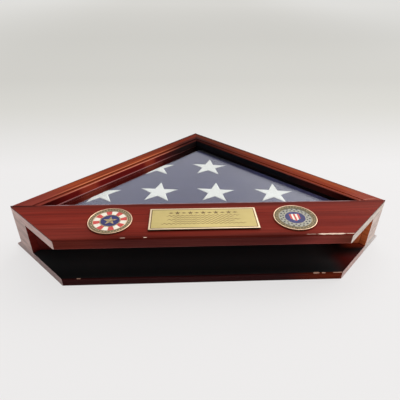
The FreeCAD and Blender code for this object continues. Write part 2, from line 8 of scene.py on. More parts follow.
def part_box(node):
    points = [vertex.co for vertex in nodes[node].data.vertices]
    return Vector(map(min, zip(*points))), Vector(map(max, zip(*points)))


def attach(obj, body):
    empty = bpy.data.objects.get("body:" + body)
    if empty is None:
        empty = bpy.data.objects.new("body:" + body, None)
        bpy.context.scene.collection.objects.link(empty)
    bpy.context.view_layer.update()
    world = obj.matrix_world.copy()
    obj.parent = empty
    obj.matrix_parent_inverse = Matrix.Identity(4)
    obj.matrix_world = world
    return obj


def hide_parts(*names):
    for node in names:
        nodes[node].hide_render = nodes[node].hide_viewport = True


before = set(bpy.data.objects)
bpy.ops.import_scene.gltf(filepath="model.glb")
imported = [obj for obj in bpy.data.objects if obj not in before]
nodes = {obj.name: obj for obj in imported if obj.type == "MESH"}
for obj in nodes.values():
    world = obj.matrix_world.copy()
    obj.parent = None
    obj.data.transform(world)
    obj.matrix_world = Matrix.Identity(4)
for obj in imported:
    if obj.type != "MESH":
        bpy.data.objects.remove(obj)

mm = 0.001
slope = sqrt(0.5)    # the sides of the case slope at 45 degrees
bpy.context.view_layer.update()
scene = bpy.context.scene
scene.view_settings.view_transform = "Standard"
print("frame loaded,", len(nodes), "nodes")


# node helpers, shared by every finish below
def newFinish(name):
    finish = bpy.data.materials.new(name)
    finish.use_nodes = True
    tree = finish.node_tree
    return finish, tree, tree.nodes["Principled BSDF"], objectPlace(tree)


def objectPlace(tree):
    return addNode(tree, "ShaderNodeTexCoord").outputs["Object"]


def rgba(colour):
    return (*colour, 1) if isinstance(colour, tuple) else (colour, colour, colour, 1)


def fillIn(tree, node, inputs):
    for key, value in inputs.items():
        socket = node.inputs[key]
        if isinstance(value, bpy.types.NodeSocket):
            tree.links.new(value, socket)
        else:
            socket.default_value = rgba(value) if socket.type == "RGBA" else value


def addNode(tree, kind, inputs=None, **settings):
    node = tree.nodes.new(kind)
    for key, value in settings.items():
        setattr(node, key, value)
    fillIn(tree, node, inputs or {})
    return node


def calc(tree, operation, first, second=0.0):
    return addNode(tree, "ShaderNodeMath", {0: first, 1: second}, operation=operation).outputs[0]


def times(tree, *factors):
    product = factors[0] if factors else 1.0
    for factor in factors[1:]:
        product = calc(tree, "MULTIPLY", product, factor)
    return product


def vectorCalc(tree, operation, first, second):
    return addNode(tree, "ShaderNodeVectorMath", {0: first, 1: second}, operation=operation).outputs["Vector"]


def along(tree, vector, way):
    sockets = {0: vector, 1: way}
    return addNode(tree, "ShaderNodeVectorMath", sockets, operation="DOT_PRODUCT").outputs["Value"]


def remap(tree, value, low, high, start=0.0, stop=1.0):
    span = {"Value": value, "From Min": low, "From Max": high, "To Min": start, "To Max": stop}
    return addNode(tree, "ShaderNodeMapRange", span, interpolation_type="SMOOTHSTEP").outputs["Result"]


def vary(tree, pattern, least, most):
    return remap(tree, pattern, 0.3, 0.7, least, most)    # nearly all of a noise lies in this span


def between(tree, value, low, high, soft):
    rise = remap(tree, value, low - soft, low + soft)
    fall = remap(tree, value, high + soft, high - soft)
    return times(tree, rise, fall)


def mixColour(tree, factor, first, second, mode="MIX"):
    sockets = {0: factor, 6: first, 7: second}
    return addNode(tree, "ShaderNodeMix", sockets, data_type="RGBA", blend_type=mode).outputs[2]


def tint(tree, colour, factor):
    return mixColour(tree, 1.0, colour, factor, "MULTIPLY")


def rampOf(tree, factor, stops):
    node = addNode(tree, "ShaderNodeValToRGB", {"Fac": factor})
    marks = node.color_ramp.elements
    while len(marks) < len(stops):
        marks.new(0.5)
    for mark, (place, colour) in zip(marks, stops):
        mark.position = place
        mark.color = rgba(colour)
    return node.outputs["Color"]


def noiseOf(tree, vector, scale, detail=2.0, rough=0.5, seed=0.0):
    if isinstance(scale, tuple):    # a scale for each axis
        vector = vectorCalc(tree, "MULTIPLY", vector, scale)
        scale = 1.0
    sockets = {"Vector": vector, "W": seed, "Scale": scale, "Detail": detail, "Roughness": rough}
    return addNode(tree, "ShaderNodeTexNoise", sockets, noise_dimensions="4D").outputs["Fac"]


def bumpOn(tree, shader, height, depth):
    bump = addNode(tree, "ShaderNodeBump", {"Height": height, "Distance": depth * mm, "Strength": 1.0})
    fillIn(tree, shader, {"Normal": bump.outputs["Normal"]})


def splitXyz(tree, vector):
    return addNode(tree, "ShaderNodeSeparateXYZ", {0: vector}).outputs[:3]


# mesh helpers
def newPiece(name, points, faces, smoothAngle=35):
    mesh = bpy.data.meshes.new(name)
    mesh.from_pydata([tuple(p) for p in points], [], faces)
    mesh.validate()
    mesh.shade_smooth()
    mesh.set_sharp_from_angle(angle=radians(smoothAngle))
    piece = bpy.data.objects.new(name, mesh)
    scene.collection.objects.link(piece)
    return piece


def skin(rings, closed=False):
    count = len(rings[0])
    points = [p for ring in rings for p in ring]
    faces = []
    for r in range(len(rings) if closed else len(rings) - 1):
        low = r * count
        high = (r + 1) % len(rings) * count
        for i in range(count):
            j = (i + 1) % count
            faces.append((low + i, low + j, high + j, high + i))
    if not closed:
        faces.append(tuple(reversed(range(count))))
        faces.append(tuple(range((len(rings) - 1) * count, len(rings) * count)))
    return points, faces


def gather(parts):
    points, faces = [], []
    for partPoints, partFaces in parts:
        start = len(points)
        points += partPoints
        faces += [tuple(start + i for i in face) for face in partFaces]
    return points, faces


def turnsOf(count):
    return [2 * pi * i / count for i in range(count)]


def circle(radius, z, count, centre):
    return [Vector((centre[0] + radius * cos(t), centre[1] + radius * sin(t), z)) for t in turnsOf(count)]


def starCorners(x, y, reach, waist, tilt=0.0):
    corners = []
    for i in range(10):
        turn = radians(90 + tilt + 36 * i)
        far = waist if i % 2 else reach
        corners.append((x + far * cos(turn), y + far * sin(turn)))
    return corners


def coat(piece, *finishes):
    for finish in finishes:
        piece.data.materials.append(finish)


def dress(names, finish):
    for name in names:
        nodes[name].data.materials.clear()
        coat(nodes[name], finish)


# where things are, read from the frame
fasciaLow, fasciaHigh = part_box("front_fascia")
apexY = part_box("left_side")[1].y
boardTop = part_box("rear_base_board")[1].z
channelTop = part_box("flag_shelf")[0].y
plaqueLow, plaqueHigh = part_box("plaque")
plaqueMiddle = (plaqueLow + plaqueHigh) / 2


# mahogany: figure, ribbons, fine streaks and pores along the grain, edges lighter where the lacquer is rubbed
# thin, partly a painted highlight along the edges
mahogany = {
    "figure": (170.0, 13.0),   # length and width of a patch of figure, mm
    "ribbon": (110.0, 3.4),
    "streak": (70.0, 1.3),
    "pore": (7.0, 0.35),
    "figureStops": (0.3, 0.5, 0.72),
    "poreSpan": (0.62, 0.72, 0.0, 0.5),
    "streakTint": (0.74, 1.14),
    "roughness": (0.36, 0.5),
    "gloss": 0.02,
    "relief": 0.05,            # mm
    "rubAndHighlightWidth": 1.1,           # mm back from an edge
    "rubAndHighlightSpan": (0.995, 0.85), "rubAndHighlightScale": 70.0, "rubAndHighlightPatch": (0.32, 0.62, 0.25, 1.0),
    "rubbedAndHighlit": (0.42, 0.15, 0.11),
    "yearRings": (60, 60, 420),
    # how squarely a face has to look its way to be an end, the front or an inner face
    "endSpan": (0.93, 0.985), "frontSpan": (-0.75, -0.97), "innerSpan": (0.8, 0.97),
    "innerFrom": (19.2, 19.8),    # mm in from the outer line
}


# what a wash can go by: places in mm, and which way a face looks
def woodWays(tree, place, plan):
    x, y, z = [times(tree, part, 1 / mm) for part in splitXyz(tree, place)]
    facing = addNode(tree, "ShaderNodeTexCoord").outputs["Normal"]
    outX, outY, outZ = splitXyz(tree, facing)
    ways = {
        "x": x, "y": y, "z": z, "outY": outY, "outZ": outZ,
        "wide": calc(tree, "ABSOLUTE", x),
        "foot": calc(tree, "SUBTRACT", y, fasciaLow.y / mm),       # from the front edge of the case
        "glass": calc(tree, "SUBTRACT", fasciaHigh.y / mm, y),     # from the fascia's edge at the glass
        "rings": noiseOf(tree, place, mahogany["yearRings"], 3.0, 0.5, plan["seed"]),
    }
    # the sawn ends look out at 45 degrees, and the front looks forward between them
    outward = calc(tree, "SUBTRACT", times(tree, outX, calc(tree, "SIGN", x)), outY)
    ways["ends"] = remap(tree, times(tree, outward, slope), *mahogany["endSpan"])
    offEnds = calc(tree, "SUBTRACT", 1.0, ways["ends"])
    ways["front"] = times(tree, remap(tree, outY, *mahogany["frontSpan"]), offEnds)
    ways["offFront"] = calc(tree, "SUBTRACT", 1.0, ways["front"])
    if "rise" in plan:
        ways["slant"] = calc(tree, "SUBTRACT", y, times(tree, x, plan["rise"]))
    if "hand" in plan:
        # a sloping piece: in from the outer line of the case, and down from the apex
        fromApex = vectorCalc(tree, "SUBTRACT", place, (0, apexY, 0))
        inwardWay = (-plan["hand"] * slope, -slope, 0)
        downWay = (plan["hand"] * slope, -slope, 0)
        ways["inward"] = times(tree, along(tree, fromApex, inwardWay), 1 / mm)
        ways["down"] = times(tree, along(tree, fromApex, downWay), 1 / mm)
        lookingIn = remap(tree, along(tree, facing, inwardWay), *mahogany["innerSpan"])
        ways["inner"] = times(tree, lookingIn, remap(tree, ways["inward"], *mahogany["innerFrom"]))
    if "chips" in plan:
        ways["below"] = calc(tree, "SUBTRACT", plan["top"] / mm, z)
        ways["chipped"] = chippedWay(tree, place, ways, plan)
    return ways


# chipped edges: grain of the break, and the share of a chip's length that tapers at each end
chipPlan = {"stretch": (0.35, 1.0, 1.0), "scale": 420.0, "ragged": (0.55, 1.15), "taper": 0.12}


# how far bare wood reaches past a place beside a chipped edge, in mm
def chippedWay(tree, place, ways, plan):
    fromFoot, fromTop = plan["chipEdge"]
    offFoot = calc(tree, "SUBTRACT", ways["foot"], fromFoot)
    offTop = calc(tree, "SUBTRACT", ways["below"], fromTop)
    squares = calc(tree, "ADD", times(tree, offFoot, offFoot), times(tree, offTop, offTop))
    stretched = vectorCalc(tree, "MULTIPLY", place, chipPlan["stretch"])
    torn = noiseOf(tree, stretched, chipPlan["scale"], 3.0, 0.6, plan["seed"])
    ragged = vary(tree, torn, *chipPlan["ragged"])
    reach = 0.0
    for start, stop, width in plan["chips"]:
        taper = chipPlan["taper"] * (stop - start)
        spot = between(tree, ways["x"], start + taper, stop - taper, taper)
        reach = calc(tree, "MAXIMUM", reach, times(tree, spot, width))
    return calc(tree, "SUBTRACT", times(tree, reach, ragged), calc(tree, "SQRT", squares))


# (way) as it is, (way, low, high) rising, (way, low, high, soft) a band, (way, low, high, start, stop) levels
def ramp(tree, ways, way, *span):
    value = ramp(tree, ways, *way) if isinstance(way, tuple) else ways[way]
    if not span:
        return value
    return between(tree, value, *span) if len(span) == 3 else remap(tree, value, *span)


# a wash is a mode, a tone and the ramps that limit it; the tone can be a ramp, or a list with its own washes
def washed(tree, ways, colour, washes):
    for mode, tone, *limits in washes:
        if isinstance(tone, list):
            tone = washed(tree, ways, tone[0], tone[1:])
        elif isinstance(tone, tuple) and tone[0] in ways:
            tone = ramp(tree, ways, *tone)
        amount = times(tree, *[ramp(tree, ways, *limit) for limit in limits])
        colour = mixColour(tree, amount, colour, tone, mode)
    return colour


def woodFinish(name, plan):
    finish, tree, shader, place = newFinish(name)
    turn = {"Vector": place, "Angle": -radians(plan["turn"])}
    turned = addNode(tree, "ShaderNodeVectorRotate", turn, rotation_type="Z_AXIS").outputs[0]

    def grain(key, detail):
        length, width = mahogany[key]
        scale = (1 / (length * mm), 1 / (width * mm), 1 / (width * mm))
        return noiseOf(tree, turned, scale, detail, 0.55, plan["seed"])

    ribbon = grain("ribbon", 2.0)
    streak = grain("streak", 3.0)
    stops = list(zip(mahogany["figureStops"], plan["tones"]))
    colour = rampOf(tree, grain("figure", 4.0), stops)
    colour = tint(tree, colour, vary(tree, ribbon, 1 - plan["contrast"], 1 + plan["contrast"]))
    colour = tint(tree, colour, vary(tree, streak, *mahogany["streakTint"]))
    pores = remap(tree, grain("pore", 1.0), *mahogany["poreSpan"])
    colour = mixColour(tree, pores, colour, plan["tones"][0])

    # lighter edges: lacquer rubbed thin, and partly a painted highlight along the edges
    soft = addNode(tree, "ShaderNodeBevel", {"Radius": mahogany["rubAndHighlightWidth"] * mm}, samples=6).outputs[0]
    flat = addNode(tree, "ShaderNodeNewGeometry").outputs["Normal"]
    edge = remap(tree, along(tree, soft, flat), *mahogany["rubAndHighlightSpan"])
    patches = noiseOf(tree, place, mahogany["rubAndHighlightScale"], 3.0, 0.6, plan["seed"])
    patchy = remap(tree, patches, *mahogany["rubAndHighlightPatch"])
    rubAndHighlight = times(tree, edge, patchy, plan["rubAndHighlight"])
    colour = mixColour(tree, rubAndHighlight, colour, plan.get("rubbedAndHighlit", mahogany["rubbedAndHighlit"]))

    if "washes" in plan:
        ways = woodWays(tree, place, plan)
        ways.update(ribbon=ribbon, streak=streak, patchy=patchy)
        colour = washed(tree, ways, colour, plan["washes"])
    fillIn(tree, shader, {
        "Base Color": colour,
        "Roughness": remap(tree, streak, 0.25, 0.75, *mahogany["roughness"]),
        "Specular IOR Level": plan.get("gloss", mahogany["gloss"]),
    })
    bumpOn(tree, shader, calc(tree, "SUBTRACT", streak, pores), mahogany["relief"])
    return finish


# the two kinds of wash: an overlay lays its tone over the wood, a multiply scales the wood's colour by it
overlay = "MIX"
multiply = "MULTIPLY"


# a band of tone that runs along a moulding, mm in from the outer line; on the strips most bands are painted
# highlights and painted shade along its edges and groove
def band(start, stop, tone, amount):
    return (overlay, tone, ("inward", start, stop, 0.4), ("streak", 0.25, 0.6, 0.6 * amount, amount))


# end faces painted pale as a reflection of the bright room, with year rings; one tone on the left of the case
# and a paler one on the right, painted light from the right
def endsPaintedPale(left, right, *limits):
    rings = (multiply, ("rings", 0.3, 0.7, 0.8, 1.12))
    return (overlay, [left, (overlay, right, ("x", -60, 60)), rings], ("ends",), *limits)


# tone that follows the ribbons of the grain
def ribboned(least, most):
    return (multiply, ("ribbon", 0.3, 0.7, least, most))


# limits and tones that several pieces share, in mm
acrossMiddle = ("wide", 70, 125, 1.0, 0.15)
innerHalf = ("inward", 9, 14)
inGroove = (("inward", 15.0, 16.2, 0.3), 0.0, 1.0)
lipFoot = (multiply, ("down", 222, 258, 1.0, 0.2))     # painted shade: the lip is darker towards its lower end
atGlass = (("z", 50.3, 49.8), ("down", 50, 110))    # line where the lip meets the glass
inChannel = ("y", channelTop / mm + 1, channelTop / mm - 1)
onLedge = (("outZ", 0.8, 0.95), ("inward", 15, 16))
bare = ("chipped", 0.0, 0.2)
sideEnds = endsPaintedPale((0.62, 0.455, 0.415), (0.76, 0.615, 0.55))
fasciaWood = {
    "turn": 0, "seed": 1.3, "rubAndHighlight": 0.3, "rubbedAndHighlit": (0.34, 0.055, 0.04), "contrast": 0.06,
    "tones": ((0.145, 0.013, 0.008), (0.187, 0.019, 0.011), (0.228, 0.03, 0.018)),
    # chips are (x from, x to, width), and their edge is (from the foot, from the top), mm
    "chips": [(105, 137, 1.0), (95, 107, 0.26), (133, 148, 0.42), (-80, -74, 0.44), (-58, -54, 0.44)],
    "chipEdge": (1.7, 0.1), "top": fasciaHigh.z,
    "washes": [
        (multiply, 0.5, ("foot", 13, 1), acrossMiddle),    # darker at the front edge
        (multiply, 0.48, ("glass", 12, 2), (acrossMiddle, 0.0, 1.0, 0.6, 1.0)),    # and at the glass
        (multiply, (1.3, 2.3, 3.2), ("front",)),    # duller front face; paler on the right, painted light from the right
        (multiply, 1.55, ("x", 60, 140), ("front",)),
        (multiply, (0.64, 0.52, 0.4), ("x", -50, -130), ("front",)),
        (multiply, (0.42, 0.54, 0.37), ("x", 98, 148), ("front",)),
        (multiply, (1.0, 1.35, 1.5), ("foot", 32, 3), ("x", -60, -120), ("offFront",)),    # painted sheen on the left, towards the front edge
        (multiply, (0.3, 0.25, 0.25), ("glass", 2.6, 1.4), ("x", -166, -182)),    # painted shadow in the joint gap on the left
        (overlay, (0.36, 0.25, 0.26), ("glass", 1.5, 0.7), ("below", 0.9, 0.4),
         ("patchy", 0.25, 1.0, 0.4, 0.8), ("wide", 172, 152)),    # paler back edge: partly wear, partly a painted highlight
        (multiply, (0.4, 0.4, 0.45), ("ends",), ("below", 1.2, 1.9, 0.2)),    # lacquer run over the ends
        endsPaintedPale((0.67, 0.48, 0.44), (0.778, 0.67, 0.585), ("below", 1.7, 2.1)),
        (overlay, (0.86, 0.66, 0.52), bare),
    ],
}
baseBoardWood = {
    "turn": 0, "seed": 4.1, "rubAndHighlight": 0.2, "contrast": 0.1,
    "tones": ((0.03, 0.005, 0.005), (0.045, 0.008, 0.008), (0.06, 0.012, 0.011)),
    "chips": [(110, 118, 0.9), (119, 124, 0.7), (130, 142, 0.6), (-127, -122, 0.5)],
    "chipEdge": (0.4, 0.6), "top": boardTop,
    "washes": [
        # painted light: the front face lighter towards the right
        (overlay, [(0.15, 0.018, 0.005), ribboned(0.7, 1.3)], ("x", 75, 128), ("outY", -0.3, -0.7)),
        endsPaintedPale((0.42, 0.3, 0.285), (0.66, 0.46, 0.42)),
        (overlay, [
            (0.068, 0.071, 0.074),    # the inside of the channel: black, partly a dark finish and partly painted shade; redder at the right end, painted light from the right
            (overlay, (0.02, 0.014, 0.014), ("foot", 14, 28), ("x", 118, 150)),
            (overlay, (0.11, 0.012, 0.01), ("foot", 35, 19), ("x", 130, 150)),
            # painted reflection of the lit side wall, at the back of the right end
            (overlay, (0.4, 0.08, 0.035), ("foot", 36, 44), ("x", 150, 168)),
            (multiply, 0.45, ("x", -100, -165)),
            (multiply, 0.36, ("foot", 26, 2)),
        ], ("outZ", 0.8, 0.95)),
        (overlay, (0.85, 0.5, 0.36), bare),
    ],
}
leftStripWood = {
    "turn": 45, "seed": 7.7, "rubAndHighlight": 0.12, "contrast": 0.24, "hand": -1,
    "tones": ((0.145, 0.015, 0.004), (0.225, 0.031, 0.008), (0.34, 0.064, 0.014)),
    "washes": [
        # painted shade on the rounded outer edge and in the groove, painted highlights at the groove's outer
        # edge and on the inner edge
        band(-2.0, 2.6, (0.06, 0.02, 0.013), 0.9),
        band(13.2, 15.4, (0.54, 0.155, 0.065), 0.9),
        band(15.8, 19.0, (0.19, 0.024, 0.006), 0.75),
        band(20.0, 22.5, (0.74, 0.27, 0.18), 0.95),
        (multiply, (0.46, 0.3, 0.24), ("down", 150, 20)),    # deeper at the apex
        (multiply, (0.2, 0.09, 0.085), innerHalf, ("down", 92, 38)),
        (overlay, [(0.2, 0.031, 0.021), ribboned(0.85, 1.15)], ("down", 200, 262)),    # redder at the foot
        (overlay, [
            (0.025, 0.014, 0.014),    # lip over the glass, its tone painted light and shade: near black at the apex, lit lower down
            (overlay, (0.27, 0.016, 0.013), ("down", 48, 132)),
            lipFoot,
            (overlay, (0.5, 0.06, 0.03), ("down", 191, 214, 5)),
            (overlay, (0.44, 0.055, 0.026), ("down", 102, 119, 5)),
            # painted highlight where the lip meets the glass
            (overlay, (1.0, 0.38, 0.36), *atGlass),
        ], ("inner",)),
    ],
}
rightStripWood = {
    "turn": -45, "seed": 9.2, "rubAndHighlight": 0.12, "contrast": 0.24, "hand": 1, "rise": 0.175,
    "tones": ((0.195, 0.025, 0.005), (0.275, 0.043, 0.009), (0.38, 0.073, 0.015)),
    "washes": [
        # painted shade on the rounded outer edge
        band(-2.0, 3.2, (0.1, 0.032, 0.021), 0.85),
        band(6.0, 15.6, (0.26, 0.034, 0.006), 0.6),
        band(10.0, 15.6, (0.195, 0.018, 0.003), 0.8),
        # painted light in the groove, and a painted highlight on the inner edge
        band(15.8, 19.0, (0.34, 0.052, 0.022), 0.8),
        band(19.6, 22.5, (0.24, 0.055, 0.042), 0.9),
        (multiply, (0.27, 0.23, 0.22), ("down", 260, 5)),
        (multiply, (0.37, 0.18, 0.16), innerHalf, ("down", 120, 20)),
        # redder towards the foot, with painted light in the groove
        (overlay, [(0.25, 0.049, 0.029), ribboned(0.85, 1.15), (multiply, 1.7, inGroove)],
         ("down", 234, 270)),
        (overlay, (0.46, 0.18, 0.135), ("slant", -109.95, -109.35, 0.25), ("x", 170, 192, 3)),    # painted highlight: a pale line along the joint
        (overlay, [
            # lip over the glass, in painted shade, a little lighter lower down
            (0.014, 0.013, 0.016),
            (overlay, (0.085, 0.016, 0.012), ("down", 160, 235)),
            lipFoot,
            (overlay, (0.03, 0.016, 0.016), *atGlass),
        ], ("inner",)),
    ],
}
leftSideWood = {
    "turn": 45, "seed": 12.4, "rubAndHighlight": 0.3, "contrast": 0.15, "hand": -1,
    "tones": ((0.09, 0.007, 0.005), (0.13, 0.011, 0.007), (0.18, 0.022, 0.013)),
    "washes": [
        (overlay, [
            (0.16, 0.0135, 0.0095),    # wall beside the flag, painted as lit on this side; darker towards the apex, painted shade
            (multiply, ("down", 40, 135, 0.16, 1.0)),
            (overlay, (0.34, 0.055, 0.034), ("down", 180, 214, 8)),
            (overlay, (0.3, 0.048, 0.026), ("down", 90, 119, 8)),
            (overlay, (0.22, 0.024, 0.018), inChannel),
            ribboned(0.75, 1.2),
        ], ("inner",)),
        # painted light on the ledge under the glass
        (overlay, (0.3, 0.12, 0.11), *onLedge),
        sideEnds,
    ],
}
rightSideWood = {
    "turn": -45, "seed": 15.8, "rubAndHighlight": 0.3, "contrast": 0.15, "hand": 1,
    "tones": ((0.14, 0.02, 0.008), (0.2, 0.035, 0.013), (0.26, 0.06, 0.02)),
    "washes": [
        # wall beside the flag and ledge in painted shade; the wall in the channel painted orange, light
        # coming in at the right end
        (overlay, [(0.012, 0.009, 0.012), (overlay, (0.7, 0.18, 0.055), inChannel), ribboned(0.75, 1.2)],
         ("inner",)),
        (overlay, (0.012, 0.009, 0.012), *onLedge),
        sideEnds,
    ],
}
leftRailWood = {
    "turn": 45, "seed": 18.9, "rubAndHighlight": 0.3, "contrast": 0.15,
    "tones": ((0.09, 0.007, 0.005), (0.13, 0.011, 0.007), (0.18, 0.022, 0.013)),
    "washes": [endsPaintedPale((0.52, 0.39, 0.365), (0.68, 0.61, 0.57))],
}
rightRailWood = dict(leftRailWood, turn=-45, seed=21.3)
shelfWood = {
    "turn": 0, "seed": 25.0, "rubAndHighlight": 0.0, "contrast": 0.2,
    # grey-black, partly a dark finish and partly painted shade in the channel
    "tones": ((0.065, 0.062, 0.062), (0.085, 0.08, 0.08), (0.1, 0.094, 0.094)),
    "washes": [
        (overlay, (0.16, 0.02, 0.016), ("x", -154, -168)),    # redder at its two ends, painted light that comes in at the open ends, brightest at the right
        (overlay, (0.8, 0.2, 0.07), ("x", 130, 153)),
    ],
}
beechWood = {
    "turn": 0, "seed": 31.0, "rubAndHighlight": 0.0, "contrast": 0.1, "gloss": 0.3,
    "tones": ((0.45, 0.29, 0.16), (0.55, 0.38, 0.22), (0.63, 0.46, 0.29)),
}
for node, plan in (
    ("front_fascia", fasciaWood), ("rear_base_board", baseBoardWood),
    ("left_face_strip", leftStripWood), ("right_face_strip", rightStripWood),
    ("left_side", leftSideWood), ("right_side", rightSideWood),
    ("left_back_rail", leftRailWood), ("right_back_rail", rightRailWood),
    ("flag_shelf", shelfWood),
):
    dress([node], woodFinish(node + "_mahogany", plan))
dress(["face_frame_dowels", "apex_dowels"], woodFinish("beech_dowel", beechWood))
print("wood finished")


# hardboard panel
panelPlan = {
    "dark": (0.16, 0.09, 0.048), "light": (0.235, 0.14, 0.08), "fleck": (0.34, 0.23, 0.14),
    "fibre": 0.5, "clump": 3.2,   # mm across a fibre and a clump of fibres
    "stretch": 0.22, "fleckSpan": (0.52, 0.68, 0.0, 0.7),
    "roughness": (0.6, 0.82), "gloss": 0.25, "relief": 0.08,
}


def hardboardFinish():
    finish, tree, shader, place = newFinish("pressedHardboard")
    fine = 1 / (panelPlan["fibre"] * mm)
    broad = noiseOf(tree, place, 1 / (panelPlan["clump"] * mm), 5.0, 0.7)
    drawn = panelPlan["stretch"] * fine
    fibres = noiseOf(tree, place, (drawn, fine, fine), 3.0, 0.6, 2.0)
    cross = noiseOf(tree, place, (fine, drawn, fine), 3.0, 0.6, 5.0)
    mat = times(tree, calc(tree, "ADD", fibres, cross), 0.5)
    colour = rampOf(tree, broad, [(0.3, panelPlan["dark"]), (0.75, panelPlan["light"])])
    colour = mixColour(tree, remap(tree, mat, *panelPlan["fleckSpan"]), colour, panelPlan["fleck"])
    fillIn(tree, shader, {
        "Base Color": colour,
        "Roughness": vary(tree, mat, *panelPlan["roughness"]),
        "Specular IOR Level": panelPlan["gloss"],
    })
    bumpOn(tree, shader, mat, panelPlan["relief"])
    return finish


dress(["access_panel"], hardboardFinish())


# glass: lets lamp light through so that the flag under it is lit, and mirrors the room
glassPlan = {
    "ior": 1.5, "tint": (0.985, 0.995, 0.99),
    "smear": (0.965, 0.975, 0.97), "smearScale": 14.0, "smearSpan": (0.4, 0.75),
}


def glassFinish():
    finish, tree, shader, place = newFinish("clearGlass")
    cloudy = noiseOf(tree, place, glassPlan["smearScale"], 4.0, 0.6)
    smears = remap(tree, cloudy, *glassPlan["smearSpan"])
    fillIn(tree, shader, {
        "Base Color": mixColour(tree, smears, glassPlan["tint"], glassPlan["smear"]),
        "Roughness": 0.0, "Transmission Weight": 1.0, "IOR": glassPlan["ior"],
    })
    clear = addNode(tree, "ShaderNodeBsdfTransparent", {"Color": glassPlan["tint"]})
    rays = addNode(tree, "ShaderNodeLightPath").outputs
    lamps = calc(tree, "MAXIMUM", rays["Is Shadow Ray"], rays["Is Diffuse Ray"])
    mixed = addNode(tree, "ShaderNodeMixShader", {0: lamps, 1: shader.outputs[0], 2: clear.outputs[0]})
    fillIn(tree, tree.nodes["Material Output"], {"Surface": mixed.outputs[0]})
    return finish


dress(["glass_pane"], glassFinish())
print("panel and glass finished")


# folded flag: a stack of cloth layers with soft fold edges, slightly uneven on top
flagPlan = {
    "layers": 13,
    "creaseDepth": 0.8,        # mm that the cloth draws in between two layers
    "edgeRadius": 4.2,
    "cornerRadius": 5.0, "leastRadius": 0.4,
    "layerProfile": ((0.0, 1.0), (0.2, 0.3), (0.5, 0.0), (0.8, 0.3)),   # shares of a layer and of a crease
    "waver": 0.35,             # share of a crease by which its edge wanders
    "waverScale": (30, 900),   # scale of the noise round the pack and up it
    "swell": 0.3,              # mm of unevenness on the upper face
    "swellWaves": ((16, 0.4, 0.75), (45, 3.1, 0.25)),   # (scale of the noise, its seed, share)
    "swellEase": 8,            # how soon the unevenness begins in from the rim
    "clear": (0.15, 0.1),      # mm kept free at the sides and on top
    "footInset": 9.9, "footTop": 12.5, "footGap": 0.05,   # the narrower foot that stands on the panel
    "heart": 0.42,             # how far up the upper face its middle lies, as a share
    "cornerSteps": 6, "edgeSteps": (26, 4, 20, 20, 4), "roundSteps": 5,
    "topRings": (0.93, 0.84, 0.74, 0.62, 0.5, 0.37, 0.24, 0.1),
    "tones": ((0.03, 0.03, 0.098), (0.04, 0.041, 0.125)),
    "foldShadow": (0.005, 0.005, 0.009),
    "foldInward": (11, 5), "foldDown": (110, 40),   # mm from the tip where that tone begins and is full
    "thread": 0.45, "sheen": 0.12,   # mm between threads
}
starPlan = {
    "reach": 23.4, "waist": 8.94, "lift": 0.35, "rise": 1.4, "thickness": 0.3,  # mm
    "stars": [(-48.9, -37.5, -5.7), (17.8, -39.9, -7.0), (86.2, -44.2, -8.8), (14.4, 25.5, -7.5),
              (-115.8, -39.2, 1.0), (-54.0, 26.2, 0.0)],      # x, y and turn in degrees
    "cells": 8,                # from the middle of a star to its outline
    "overFold": 1.2,           # mm of star left past the rounded fold
    "white": (0.90, 0.90, 0.875),
    "thread": 0.35, "sheen": 0.05,
}
clothPlan = {
    "roughness": (0.72, 0.88), "gloss": 0.2, "sheenRoughness": 0.45, "relief": 0.12,
    "cloudScale": 24.0, "slubScale": (90, 1400, 900), "weaveTint": (0.0, 0.6, 0.8, 1.1),
}
waveBands = 3.183              # bands that a wave texture of scale 1 has in a metre
flagLow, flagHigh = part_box("folded_flag")
flagMiddle = (flagLow.x + flagHigh.x) / 2
flagCut = flagHigh.y - (flagHigh.x - flagLow.x) / 2      # y where the sloping folds meet the cut corners
flagCorners = [
    Vector((flagLow.x, flagLow.y)), Vector((flagHigh.x, flagLow.y)), Vector((flagHigh.x, flagCut)),
    Vector((flagMiddle, flagHigh.y)), Vector((flagLow.x, flagCut)),
]
flagHeart = Vector((flagMiddle, flagLow.y + flagPlan["heart"] * (flagHigh.y - flagLow.y)))
flagRadius = flagPlan["edgeRadius"] * mm
flagTop = flagHigh.z - flagPlan["clear"][1] * mm


# rounded polygon, drawn in by inset; every ring has the same number of points
def flagOutline(inset):
    count = len(flagCorners)
    lines = []
    for i, corner in enumerate(flagCorners):
        heading = (flagCorners[(i + 1) % count] - corner).normalized()
        inner = Vector((-heading.y, heading.x))
        lines.append((corner + inner * inset, heading))
    arcs = []
    for i in range(count):
        before, after = lines[i - 1], lines[i]
        cross = before[1].x * after[1].y - before[1].y * after[1].x
        gap = after[0] - before[0]
        reach = (gap.x * after[1].y - gap.y * after[1].x) / cross
        corner = before[0] + before[1] * reach
        half = atan2(cross, before[1].dot(after[1])) / 2
        radius = max(flagPlan["cornerRadius"] * mm - inset, flagPlan["leastRadius"] * mm)
        back = radius * sin(half) / cos(half)
        centre = corner - before[1] * back + Vector((-before[1].y, before[1].x)) * radius
        out = Vector((before[1].y, -before[1].x))
        arc = []
        for step in range(flagPlan["cornerSteps"] + 1):
            turn = 2 * half * step / flagPlan["cornerSteps"]
            spun = Vector((out.x * cos(turn) - out.y * sin(turn), out.x * sin(turn) + out.y * cos(turn)))
            arc.append(centre + spun * radius)
        arcs.append(arc)
    ring = []
    for i, steps in enumerate(flagPlan["edgeSteps"]):
        start, stop = arcs[i][-1], arcs[(i + 1) % count][0]
        ring += arcs[i]
        ring += [start.lerp(stop, s / steps) for s in range(1, steps)]
    return ring


def flagSwell(x, y):
    level = 0.0
    for scale, seed, share in flagPlan["swellWaves"]:
        level += share * noise.noise(Vector((x * scale, y * scale, seed)))
    return flagPlan["swell"] * mm * level


